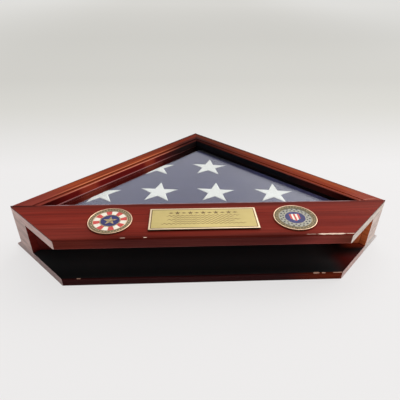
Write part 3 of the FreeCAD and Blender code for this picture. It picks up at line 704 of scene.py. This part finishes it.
def flagPack():
    side = flagPlan["clear"][0] * mm
    sideTop = flagTop - flagRadius
    sideLow = flagPlan["footTop"] * mm
    layer = (sideTop - sideLow) / flagPlan["layers"]
    crease = flagPlan["creaseDepth"] * mm
    across, up = flagPlan["waverScale"]
    rings = []

    def addRing(inset, z, wave):
        ring = []
        for p in flagOutline(inset):
            ripple = noise.noise(Vector((p.x * across, p.y * across, z * up)))
            shift = flagPlan["waver"] * crease * ripple * wave
            pull = (p - flagHeart).normalized() * abs(shift)
            ring.append(Vector((p.x - pull.x, p.y - pull.y, z)))
        rings.append(ring)

    addRing(flagPlan["footInset"] * mm, flagLow.z, 0.0)
    addRing(flagPlan["footInset"] * mm, sideLow - flagPlan["footGap"] * mm, 0.0)
    for k in range(flagPlan["layers"]):
        z = sideLow + k * layer
        for part, draw in flagPlan["layerProfile"]:
            addRing(side + crease * draw, z + part * layer, 1.0)
    for step in range(flagPlan["roundSteps"] + 1):
        turn = pi / 2 * step / flagPlan["roundSteps"]
        addRing(side + flagRadius * (1 - cos(turn)), sideTop + flagRadius * sin(turn), 0.0)
    rim = rings[-1]
    for share in flagPlan["topRings"]:
        ring = []
        for p in rim:
            x = flagHeart.x + (p.x - flagHeart.x) * share
            y = flagHeart.y + (p.y - flagHeart.y) * share
            ease = min(1.0, (1 - share) * flagPlan["swellEase"])
            ring.append(Vector((x, y, flagTop + flagSwell(x, y) * ease)))
        rings.append(ring)
    points, faces = skin(rings)
    return newPiece("foldedFlag", points, faces, 60)


def pastLeftFold(x, y):
    return flagRadius - (x - flagMiddle - y + flagHigh.y) * slope


# a place on the upper face; past the left fold it follows the edge round and down
def onFlag(x, y, lift):
    past = pastLeftFold(x, y)
    if past <= 0:
        return Vector((x, y, flagTop + flagSwell(x, y) + lift))
    fold = Vector((-slope, slope, 0))
    start = Vector((x, y, 0)) - fold * past
    turn = min(past / flagRadius, pi / 2)
    out = (flagRadius + lift) * sin(turn)
    drop = max(past - flagRadius * pi / 2, 0.0)
    return start + fold * out + Vector((0, 0, flagTop - flagRadius + (flagRadius + lift) * cos(turn) - drop))


# one sewn star, cut off where it goes down past the left fold
def sewnStar(across, up, tilt):
    cells = starPlan["cells"]
    reach, waist = starPlan["reach"] * mm, starPlan["waist"] * mm
    centre = Vector((across * mm, up * mm))
    corners = [Vector(c) for c in starCorners(across * mm, up * mm, reach, waist, tilt)]
    points, faces, known = [], [], {}

    def stitch(i, a, b):
        # a steps from the centre towards the outline, b steps along it
        p = centre
        if a:
            onOutline = (corners[i] * (a - b) + corners[(i + 1) % 10] * b) / a
            p = centre + (onOutline - centre) * (a / cells)
        key = (round(p.x * 1e7), round(p.y * 1e7))
        if key not in known:
            known[key] = len(points)
            rim = (1 - a / cells) * waist
            lift = starPlan["lift"] * mm * min(1.0, rim / (starPlan["rise"] * mm))
            points.append((onFlag(p.x, p.y, lift), pastLeftFold(p.x, p.y)))
        return known[key]

    for i in range(10):
        for a in range(cells):
            for b in range(a + 1):
                faces.append((stitch(i, a, b), stitch(i, a + 1, b), stitch(i, a + 1, b + 1)))
                if b < a:
                    faces.append((stitch(i, a, b), stitch(i, a + 1, b + 1), stitch(i, a, b + 1)))
    limit = flagRadius * pi / 2 + starPlan["overFold"] * mm
    kept = [f for f in faces if max(points[j][1] for j in f) < limit]
    used = sorted({j for f in kept for j in f})
    index = {j: n for n, j in enumerate(used)}
    return [points[j][0] for j in used], [tuple(index[j] for j in f) for f in kept]


def flagStars():
    points, faces = gather([sewnStar(*star) for star in starPlan["stars"]])
    piece = newPiece("flagStars", points, faces, 60)
    thick = piece.modifiers.new("thickness", "SOLIDIFY")
    thick.thickness = starPlan["thickness"] * mm
    thick.offset = -0.4
    return piece


def clothFinish(name, tones, plan):
    finish, tree, shader, place = newFinish(name)
    sockets = {"Vector": place, "Scale": 1 / (plan["thread"] * mm) / waveBands, "Distortion": 0.6,
               "Detail": 1.0, "Detail Scale": 0.4}
    threads = [addNode(tree, "ShaderNodeTexWave", sockets, wave_type="BANDS", bands_direction=direction)
               for direction in ("X", "Y")]
    weave = times(tree, *[thread.outputs["Fac"] for thread in threads])
    cloudy = noiseOf(tree, place, clothPlan["cloudScale"], 4.0, 0.6)
    slub = noiseOf(tree, place, clothPlan["slubScale"], 2.0, 0.5, 3.0)
    tone = calc(tree, "ADD", times(tree, cloudy, 0.6), times(tree, slub, 0.4))
    colour = rampOf(tree, tone, [(0.35, tones[0]), (0.65, tones[1])])
    colour = tint(tree, colour, remap(tree, weave, *clothPlan["weaveTint"]))
    if "foldShadow" in plan:
        # painted shadow along the right fold, near the apex
        fromTip = vectorCalc(tree, "SUBTRACT", place, (flagMiddle, flagHigh.y, 0))
        limits = []
        for side, (start, stop) in ((-1, plan["foldInward"]), (1, plan["foldDown"])):
            far = along(tree, fromTip, (side * slope, -slope, 0))
            limits.append(remap(tree, far, start * mm, stop * mm))
        colour = mixColour(tree, times(tree, *limits), colour, plan["foldShadow"])
    fillIn(tree, shader, {
        "Base Color": colour,
        "Roughness": remap(tree, weave, 0.0, 0.7, *clothPlan["roughness"]),
        "Specular IOR Level": clothPlan["gloss"],
        "Sheen Weight": plan["sheen"], "Sheen Roughness": clothPlan["sheenRoughness"],
    })
    bumpOn(tree, shader, weave, clothPlan["relief"])
    return finish


foldedFlag = flagPack()
coat(foldedFlag, clothFinish("navyBunting", flagPlan["tones"], flagPlan))
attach(foldedFlag, "case")
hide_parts("folded_flag")
stars = flagStars()
whiteTones = (tuple(0.94 * c for c in starPlan["white"]), starPlan["white"])
coat(stars, clothFinish("whiteStarThread", whiteTones, starPlan))
stars.parent = foldedFlag
print("folded flag made,", len(foldedFlag.data.vertices), "points")


# metals: brushed brass, antiqued bronze, zinc-plated steel
metalPlan = {
    "satinBrass": {
        "tones": ((0.465, 0.37, 0.147), (0.55, 0.44, 0.183)), "roughness": (0.34, 0.46), "relief": 0.01,
        "brush": (30, 2600, 2600),    # scale of the noise, along each axis where they differ
        "fade": (plaqueMiddle.x + 3 * mm, plaqueMiddle.x + 36 * mm, 0.8),    # deeper tone on the right
    },
    "brassRim": {"tones": ((0.72, 0.55, 0.36), (0.82, 0.66, 0.46)), "roughness": (0.3, 0.42),
                 "brush": 900.0, "relief": 0.01},
    # dark brass for the engraved marks, and painted shade on the plaque's edges
    "brassMarkAndShade": {"tones": ((0.13, 0.085, 0.04), (0.21, 0.14, 0.07)), "roughness": (0.45, 0.6),
                  "brush": 900.0, "relief": 0.01},
    "antiqueBronze": {"tones": ((0.40, 0.29, 0.155), (0.6, 0.46, 0.26)), "roughness": (0.32, 0.5),
                      "brush": 700.0, "relief": 0.03, "patina": (0.15, 0.115, 0.07)},
    "polishedBronze": {"tones": ((0.7, 0.47, 0.31), (0.86, 0.62, 0.43)), "roughness": (0.3, 0.45),
                       "brush": 700.0, "relief": 0.02},
    "dullBronze": {"tones": ((0.48, 0.33, 0.21), (0.6, 0.43, 0.3)), "roughness": (0.34, 0.5),
                   "brush": 700.0, "relief": 0.02},
    "darkBronze": {"tones": ((0.14, 0.11, 0.062), (0.22, 0.175, 0.1)), "roughness": (0.4, 0.55),
                   "brush": 700.0, "relief": 0.02},
    "zincPlate": {"tones": ((0.3, 0.3, 0.285), (0.46, 0.455, 0.43)), "roughness": (0.3, 0.46),
                  "brush": (120, 1500, 1500), "relief": 0.01},
}
metalWear = {"cloudScale": 90.0, "spotScale": 420.0, "spotSpan": (0.42, 0.62, 0.0, 0.8)}


def metalFinish(name, tones, roughness, brush, relief, patina=None, fade=None):
    finish, tree, shader, place = newFinish(name)
    brushed = noiseOf(tree, place, brush, 3.0, 0.6)
    cloudy = noiseOf(tree, place, metalWear["cloudScale"], 4.0, 0.6, 2.0)
    tone = calc(tree, "ADD", times(tree, brushed, 0.6), times(tree, cloudy, 0.4))
    colour = rampOf(tree, tone, [(0.35, tones[0]), (0.65, tones[1])])
    if patina:
        spots = noiseOf(tree, place, metalWear["spotScale"], 4.0, 0.65, 4.0)
        colour = mixColour(tree, remap(tree, spots, *metalWear["spotSpan"]), colour, patina)
    if fade:
        start, stop, least = fade
        colour = tint(tree, colour, remap(tree, splitXyz(tree, place)[0], start, stop, 1.0, least))
    fillIn(tree, shader, {
        "Base Color": colour, "Roughness": vary(tree, brushed, *roughness), "Metallic": 1.0,
    })
    bumpOn(tree, shader, brushed, relief)
    return finish


metals = {name: metalFinish(name, **plan) for name, plan in metalPlan.items()}


# plaque: bevelled plate with an engraved border line and a plain ornament
plaquePlan = {
    "edge": 0.1, "bevel": 0.35, "borderIn": 1.7, "borderWidth": 0.95, "borderDepth": 0.2,   # mm
    "finishes": ("satinBrass", "brassMarkAndShade", "brassRim"),
    # the plate's bottom edge and side take the dark brass, painted shade
    "bands": (1, 1, 2, 2, 0, 1, 0, 0),     # finish of each band of faces, from the back edge in to the middle
    "sunk": 0.05, "proud": 0.06,
    "stars": [-26, -13, 0, 13, 26], "starReach": 3.0, "starWaist": 1.26, "rowUp": 9.6,
    "lozenges": [-32.5, -19.5, -6.5, 6.5, 19.5, 32.5], "lozenge": (2.6, 1.0),
    "waves": [(4.6, 74), (1.2, 62), (-2.2, 74), (-5.6, 62), (-9.0, 84)],   # (height above the middle, length)
    "waveHeight": 0.75, "waveLength": 4.4, "waveWidth": 0.7, "waveSteps": 8,
    "waveTaper": 6, "waveTip": 0.15,       # steps that a wave tapers over, and the share left at its tip
}


def rectangle(inset, z):
    left, right = plaqueLow.x + inset, plaqueHigh.x - inset
    near, far = plaqueLow.y + inset, plaqueHigh.y - inset
    return [Vector((x, y, z)) for x, y in ((left, near), (right, near), (right, far), (left, far))]


def plaquePlate():
    top = plaqueHigh.z
    edge, bevel, start = [plaquePlan[key] * mm for key in ("edge", "bevel", "borderIn")]
    stop = start + plaquePlan["borderWidth"] * mm
    floor = top - plaquePlan["borderDepth"] * mm
    rings = [
        rectangle(edge, plaqueLow.z), rectangle(0, plaqueLow.z + edge), rectangle(0, top - bevel),
        rectangle(bevel, top), rectangle(start, top), rectangle(start, floor), rectangle(stop, floor),
        rectangle(stop, top),
    ]
    points, faces = skin(rings)
    piece = newPiece("plaquePlate", points, faces, 30)
    coat(piece, *[metals[name] for name in plaquePlan["finishes"]])
    for i, face in enumerate(piece.data.polygons):
        face.material_index = plaquePlan["bands"][i // 4]
    return piece


def plaqueOrnament():
    parts = []
    low = plaqueHigh.z - plaquePlan["sunk"] * mm
    high = plaqueHigh.z + plaquePlan["proud"] * mm

    def raised(flat):
        places = [(plaqueMiddle.x + u * mm, plaqueMiddle.y + v * mm) for u, v in flat]
        parts.append(skin([[Vector((x, y, z)) for x, y in places] for z in (low, high)]))

    up = plaquePlan["rowUp"]
    for across in plaquePlan["stars"]:
        raised(starCorners(across, up, plaquePlan["starReach"], plaquePlan["starWaist"]))
    wide, tall = plaquePlan["lozenge"]
    for across in plaquePlan["lozenges"]:
        raised([(across - wide, up), (across, up - tall), (across + wide, up), (across, up + tall)])
    half, pitch = plaquePlan["waveWidth"] / 2, plaquePlan["waveLength"]
    taper, tip = plaquePlan["waveTaper"], plaquePlan["waveTip"]
    for level, length in plaquePlan["waves"]:
        steps = int(length / pitch * plaquePlan["waveSteps"])
        lower, upper = [], []
        for i in range(steps + 1):
            u = length * (i / steps - 0.5)
            v = level + plaquePlan["waveHeight"] * sin(2 * pi * u / pitch)
            thick = half * min(1.0, i / taper + tip, (steps - i) / taper + tip)
            lower.append((u, v - thick))
            upper.append((u, v + thick))
        raised(lower + upper[::-1])
    points, faces = gather(parts)
    return newPiece("plaqueOrnament", points, faces, 30)


plate = plaquePlate()
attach(plate, "case")
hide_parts("plaque")
ornament = plaqueOrnament()
coat(ornament, metals["brassMarkAndShade"])
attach(ornament, "case")


# foam tape under the plaque
foamPlan = {
    "dark": (0.58, 0.58, 0.55), "light": (0.78, 0.78, 0.75), "cells": 3200.0, "roughness": 0.9, "relief": 0.1,
}


def foamFinish():
    finish, tree, shader, place = newFinish("foamTape")
    sockets = {"Vector": place, "Scale": foamPlan["cells"]}
    cells = addNode(tree, "ShaderNodeTexVoronoi", sockets).outputs["Distance"]
    colour = rampOf(tree, cells, [(0.0, foamPlan["dark"]), (0.6, foamPlan["light"])])
    fillIn(tree, shader, {"Base Color": colour, "Roughness": foamPlan["roughness"]})
    bumpOn(tree, shader, cells, foamPlan["relief"])
    return finish


dress(["plaque_tape"], foamFinish())
print("plaque made")


# medallions: struck bronze with glossy enamel, a beaded rim between two thin raised rings
medallionPlan = {
    "beads": 40, "beadPlace": 18.8, "beadRadius": 0.66, "beadSunk": 0.2,   # mm
    "beadSides": 10, "beadRise": 0.75, "beadTurns": (0.15, 0.6, 1.05, 1.4),
    "rings": [(16.7, 0.3), (21.25, 0.48)],     # (radius, wire radius)
    "segments": (96, 10),                      # round a ring, and round its wire
    "groove": (17.1, 20.8), "grooveCover": 0.85,    # sunk ground of the rim
    "soft": 0.15,                              # mm over which one tone goes into the next
    "band": (10.3, 16.3), "bandTone": (0.25, 0.24, 0.2),
    "ticks": 18, "tickReach": [(11.2, 12.8), (13.6, 15.3)], "tickSpan": (0.2, 0.5),
    "tickTone": (0.03, 0.027, 0.03),
}
medallions = {
    "left_medallion": {
        "piece": "leftMedallionRim", "rim": ("dullBronze", "polishedBronze", "dullBronze"),  # rings, beads
        "grooveTone": (0.165, 0.143, 0.083), "banded": False,
    },
    "right_medallion": {
        "piece": "rightMedallionRim", "rim": ("darkBronze", "polishedBronze", "antiqueBronze"),
        "grooveTone": (0.072, 0.063, 0.037), "banded": True,
    },
}
enamelPlan = {"roughness": (0.16, 0.28), "gloss": 0.35, "relief": 0.04}
enamelTones = {
    "blue": ((0.012, 0.012, 0.09), (0.02, 0.02, 0.14)),
    "red": ((0.5, 0.045, 0.04), (0.62, 0.07, 0.055)),
    "white": ((0.76, 0.7, 0.58), (0.86, 0.82, 0.7)),
}


def enamelFinish(name, tones):
    finish, tree, shader, place = newFinish(name)
    cloudy = noiseOf(tree, place, 260.0, 3.0, 0.55)
    fillIn(tree, shader, {
        "Base Color": rampOf(tree, cloudy, [(0.35, tones[0]), (0.65, tones[1])]),
        "Roughness": vary(tree, cloudy, *enamelPlan["roughness"]),
        "Specular IOR Level": enamelPlan["gloss"],
    })
    bumpOn(tree, shader, noiseOf(tree, place, 700.0, 2.0), enamelPlan["relief"])
    return finish


def medallionRim(node, plan):
    low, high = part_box(node)
    middle = ((low + high) / 2).to_2d()
    parts = []
    around, wireSides = medallionPlan["segments"]
    up = Vector((0, 0, 1))
    for radius, wire in medallionPlan["rings"]:
        loops = []
        for turn in turnsOf(around):
            out = Vector((cos(turn), sin(turn), 0))
            base = Vector((middle.x, middle.y, high.z)) + out * radius * mm
            loops.append([base + (out * cos(a) + up * sin(a)) * wire * mm for a in turnsOf(wireSides)])
        parts.append(skin(loops, closed=True))
    size, away = medallionPlan["beadRadius"] * mm, medallionPlan["beadPlace"] * mm
    sides = medallionPlan["beadSides"]
    for turn in turnsOf(medallionPlan["beads"]):
        spot = (middle.x + away * cos(turn), middle.y + away * sin(turn))
        rings = [circle(size, high.z - medallionPlan["beadSunk"] * mm, sides, spot)]
        for a in medallionPlan["beadTurns"]:
            rise = medallionPlan["beadRise"] * size * sin(a)
            rings.append(circle(size * cos(a), high.z + rise, sides, spot))
        parts.append(skin(rings))
    points, faces = gather(parts)
    piece = newPiece(plan["piece"], points, faces, 50)
    coat(piece, *[metals[name] for name in plan["rim"]])
    for i, face in enumerate(piece.data.polygons):
        face.material_index = min(i // (around * wireSides), len(medallionPlan["rings"]))
    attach(piece, "case")


# the body of a medallion: a dark ground in its rim, and on the right one a bright band with tick marks
def struckFinish(node, plan):
    finish = metals["antiqueBronze"].copy()
    finish.name = node + "_bronze"
    tree = finish.node_tree
    shader = tree.nodes["Principled BSDF"]
    low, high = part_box(node)
    middle = (low + high) / 2
    place = vectorCalc(tree, "SUBTRACT", objectPlace(tree), (middle.x, middle.y, 0))
    x, y = splitXyz(tree, place)[:2]
    radius = calc(tree, "SQRT", calc(tree, "ADD", times(tree, x, x), times(tree, y, y)))

    def ring(reach):
        return between(tree, radius, reach[0] * mm, reach[1] * mm, medallionPlan["soft"] * mm)

    colour = shader.inputs["Base Color"].links[0].from_socket
    ground = times(tree, ring(medallionPlan["groove"]), medallionPlan["grooveCover"])
    colour = mixColour(tree, ground, colour, plan["grooveTone"])
    if plan["banded"]:
        colour = mixColour(tree, ring(medallionPlan["band"]), colour, medallionPlan["bandTone"])
        turn = times(tree, calc(tree, "ARCTAN2", y, x), medallionPlan["ticks"])
        for row, reach in enumerate(medallionPlan["tickReach"]):
            swing = calc(tree, "COSINE", calc(tree, "ADD", turn, pi * row))
            dash = remap(tree, swing, *medallionPlan["tickSpan"])
            colour = mixColour(tree, times(tree, dash, ring(reach)), colour, medallionPlan["tickTone"])
    fillIn(tree, shader, {"Base Color": colour})
    return finish


for colour, tones in enamelTones.items():
    dress(["left_medallion_" + colour, "right_medallion_" + colour], enamelFinish(colour + "Enamel", tones))
for node, plan in medallions.items():
    dress([node], struckFinish(node, plan))
    medallionRim(node, plan)
print("medallions finished")


# screws with cross recesses, in place of the plain CAD screws
screwPlan = {
    "segments": 28, "pitch": 1.6, "tip": 0.12, "threadEnd": 2.0, "tipLength": 1.5,    # mm
    "root": 0.8,                                  # share of the shank's radius between two threads
    "recess": 0.62, "recessWidth": 0.2, "recessDepth": 0.5,    # shares of the head's radius and height
    "recessFloor": 0.7,                           # share of the recess that its floor takes up
    "head": [(0.62, 0.0), (0.86, 0.1), (0.98, 0.4), (1.0, 0.6), (1.0, 1.0)],   # profile, in the same shares
}
screwSets = {
    "backScrews": {"node": "back_screws", "headHeight": 2.5, "shank": 1.75},
    "buttonScrews": {"node": "turn_button_screws", "headHeight": 1.6, "shank": 1.5},
}


def islandsOf(node):
    mesh = bmesh.new()
    mesh.from_mesh(nodes[node].data)
    bmesh.ops.remove_doubles(mesh, verts=mesh.verts, dist=1e-7)
    left, found = set(mesh.verts), []
    while left:
        stack, group = [left.pop()], []
        while stack:
            vert = stack.pop()
            group.append(vert.co.copy())
            for edge in vert.link_edges:
                other = edge.other_vert(vert)
                if other in left:
                    left.remove(other)
                    stack.append(other)
        low = Vector([min(p[k] for p in group) for k in range(3)])
        high = Vector([max(p[k] for p in group) for k in range(3)])
        found.append((low, high))
    mesh.free()
    return sorted(found, key=lambda pair: (round(pair[0].y, 5), round(pair[0].x, 5)))


# head down at low.z, so that it faces out of the back
def screwParts(low, high, headHeight, shank):
    centre = ((low + high) / 2).to_2d()
    radius = (high.x - low.x) / 2
    pitch = screwPlan["pitch"] * mm
    root = screwPlan["root"] * shank
    profile = [(wide * radius, low.z + tall * headHeight) for wide, tall in screwPlan["head"]]
    z = low.z + headHeight
    profile.append((shank, z))
    while z + pitch < high.z - screwPlan["threadEnd"] * mm:
        profile += [(root, z + 0.5 * pitch), (shank, z + pitch)]
        z += pitch
    profile += [(root, high.z - screwPlan["tipLength"] * mm), (screwPlan["tip"] * mm, high.z)]
    # the recess: a cross-shaped ring joined to the head's rim, then its floor
    arm, wide = screwPlan["recess"] * radius, screwPlan["recessWidth"] * radius
    count = screwPlan["segments"]
    cross = []
    for turn in turnsOf(count):
        small, large = sorted((abs(cos(turn)), abs(sin(turn))))
        away = arm / large if small * arm <= wide * large else wide / small
        cross.append((away * cos(turn), away * sin(turn)))
    depth = screwPlan["recessDepth"] * headHeight
    share = screwPlan["recessFloor"]
    rings = [
        [Vector((centre.x + share * u, centre.y + share * v, low.z + depth)) for u, v in cross],
        [Vector((centre.x + u, centre.y + v, low.z)) for u, v in cross],
    ]
    rings += [circle(r, z, count, centre) for r, z in profile]
    return skin(rings)


for name, plan in screwSets.items():
    sizes = (plan["headHeight"] * mm, plan["shank"] * mm)
    points, faces = gather([screwParts(low, high, *sizes) for low, high in islandsOf(plan["node"])])
    screws = newPiece(name, points, faces, 40)
    coat(screws, metals["zincPlate"])
    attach(screws, "case")
    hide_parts(plan["node"])
buttons = [name for name in nodes if name.startswith("turn_button_") and name != "turn_button_screws"]
dress(buttons, metals["zincPlate"])
print("hardware finished")


# stage: pale floor that is clear from underneath, so that the back can be looked at too
floorPlan = {
    "half": 8.0, "drop": 0.0003,   # m
    "tones": [(0.12, 0.845, 0.98), (0.31, 0.735, 0.95), (0.41, 0.69, 0.93), (0.68, 0.64, 0.93),
              (1.41, 0.64, 0.93), (3.5, 0.73, 0.94)],   # (y in m, grey, share of blue)
    "green": 0.985,
    "sides": 0.23,                 # how much paler it is out to the sides at the back
    "sidesOut": (0.4, 1.6), "sidesBack": (0.3, 1.2),   # m from where to where
    "glow": 0.83,                  # share of the tone that keeps its level in the object's shadow
    "roughness": 0.9,
}


def floorFinish():
    finish, tree, shader, place = newFinish("paleFloor")
    x, y = splitXyz(tree, place)[:2]
    span = floorPlan["half"]
    reach = {"Value": y, "From Min": -span, "From Max": span}
    depth = addNode(tree, "ShaderNodeMapRange", reach).outputs["Result"]
    stops = [((far + span) / (2 * span), (grey, floorPlan["green"] * grey, blue * grey))
             for far, grey, blue in floorPlan["tones"]]
    aside = remap(tree, calc(tree, "ABSOLUTE", x), *floorPlan["sidesOut"], 0.0, floorPlan["sides"])
    aside = times(tree, aside, remap(tree, y, *floorPlan["sidesBack"]))
    tone = mixColour(tree, aside, rampOf(tree, depth, stops), 1.0)
    fillIn(tree, shader, {"Base Color": tone, "Roughness": floorPlan["roughness"], "Specular IOR Level": 0.0})
    glow = addNode(tree, "ShaderNodeEmission", {"Color": tone})
    rays = addNode(tree, "ShaderNodeLightPath").outputs
    seen = calc(tree, "MAXIMUM", rays["Is Glossy Ray"], rays["Is Transmission Ray"])
    seen = calc(tree, "MAXIMUM", rays["Is Camera Ray"], seen)
    share = times(tree, seen, floorPlan["glow"])
    lit = addNode(tree, "ShaderNodeMixShader", {0: share, 1: shader.outputs[0], 2: glow.outputs[0]})
    clear = addNode(tree, "ShaderNodeBsdfTransparent")
    under = addNode(tree, "ShaderNodeNewGeometry").outputs["Backfacing"]
    seeThrough = calc(tree, "MAXIMUM", under, rays["Is Shadow Ray"])
    mixed = addNode(tree, "ShaderNodeMixShader", {0: seeThrough, 1: lit.outputs[0], 2: clear.outputs[0]})
    fillIn(tree, tree.nodes["Material Output"], {"Surface": mixed.outputs[0]})
    return finish


half, drop = floorPlan["half"], -floorPlan["drop"]
floorCorners = [(-half, -half, drop), (half, -half, drop), (half, half, drop), (-half, half, drop)]
floor = newPiece("paleFloor", floorCorners, [(0, 1, 2, 3)])
coat(floor, floorFinish())

# room light: bright behind and to the right, dark on the camera's side
roomPlan = {
    "front": 0.16, "back": 0.82, "right": 1.0, "left": 0.09, "backdrop": 0.72,
    # from where to where each of them comes in, as parts of a direction
    "backSpan": (-0.45, 0.6), "rightSpan": (0.04, 0.5), "rightBackSpan": (-0.1, 0.4),
    "leftSpan": (0.0, -0.25), "horizonSpan": (-0.1, 0.02),
}
lampPlan = {
    "overhead": {"place": (0.30, 0.30, 1.25), "aim": (0, 0, 0.03), "size": 1.2, "power": 10, "spread": 180},
    "rightWindow": {"place": (1.25, 0.55, 0.85), "aim": (0, 0, 0.03), "size": 0.9, "power": 6, "spread": 180},
    "underTable": {"place": (0, 0, -0.6), "aim": (0, 0, 0), "size": 0.7, "power": 2, "spread": 40},
}


def roomLight():
    world = bpy.data.worlds.new("paleRoom")
    world.use_nodes = True
    tree = world.node_tree
    direction = addNode(tree, "ShaderNodeTexCoord").outputs["Generated"]
    x, y, z = splitXyz(tree, direction)
    level = remap(tree, y, *roomPlan["backSpan"], roomPlan["front"], roomPlan["back"])
    behind = remap(tree, y, *roomPlan["rightBackSpan"], 0.0, roomPlan["right"])
    window = times(tree, remap(tree, x, *roomPlan["rightSpan"]), behind)
    level = calc(tree, "ADD", level, window)
    level = calc(tree, "ADD", level, remap(tree, x, *roomPlan["leftSpan"], 0.0, roomPlan["left"]))
    level = times(tree, level, remap(tree, z, *roomPlan["horizonSpan"]))
    seen = addNode(tree, "ShaderNodeLightPath").outputs["Is Camera Ray"]
    level = addNode(tree, "ShaderNodeMix", {0: seen, 2: level, 3: roomPlan["backdrop"]}).outputs[0]
    fillIn(tree, tree.nodes["Background"], {"Color": 1.0, "Strength": level})
    scene.world = world


def addLamp(name, plan):
    light = bpy.data.lights.new(name, "AREA")
    light.shape = "SQUARE"
    light.size = plan["size"]
    light.energy = plan["power"]
    light.spread = radians(plan["spread"])
    lamp = bpy.data.objects.new(name, light)
    lamp.location = plan["place"]
    lamp.rotation_euler = (Vector(plan["aim"]) - Vector(plan["place"])).to_track_quat("-Z", "Y").to_euler()
    scene.collection.objects.link(lamp)


roomLight()
for name, plan in lampPlan.items():
    addLamp(name, plan)

cameraPlan = {
    "lens": 33.162, "sensor": 36.0, "nearest": 0.01, "place": (-0.01946, -0.41291, 0.26862),
    "yaw": 2.965, "pitch": 31.837, "roll": 0.658,    # degrees
}
cameraData = bpy.data.cameras.new("photoCamera")
cameraData.lens = cameraPlan["lens"]
cameraData.sensor_width = cameraPlan["sensor"]
cameraData.clip_start = cameraPlan["nearest"]
camera = bpy.data.objects.new("photoCamera", cameraData)
aim = Matrix.Rotation(-radians(cameraPlan["yaw"]), 4, "Z")
aim = aim @ Matrix.Rotation(pi / 2 - radians(cameraPlan["pitch"]), 4, "X")
aim = aim @ Matrix.Rotation(radians(cameraPlan["roll"]), 4, "Z")
camera.matrix_world = Matrix.Translation(cameraPlan["place"]) @ aim
scene.collection.objects.link(camera)
scene.camera = camera
print("stage, light and camera set")
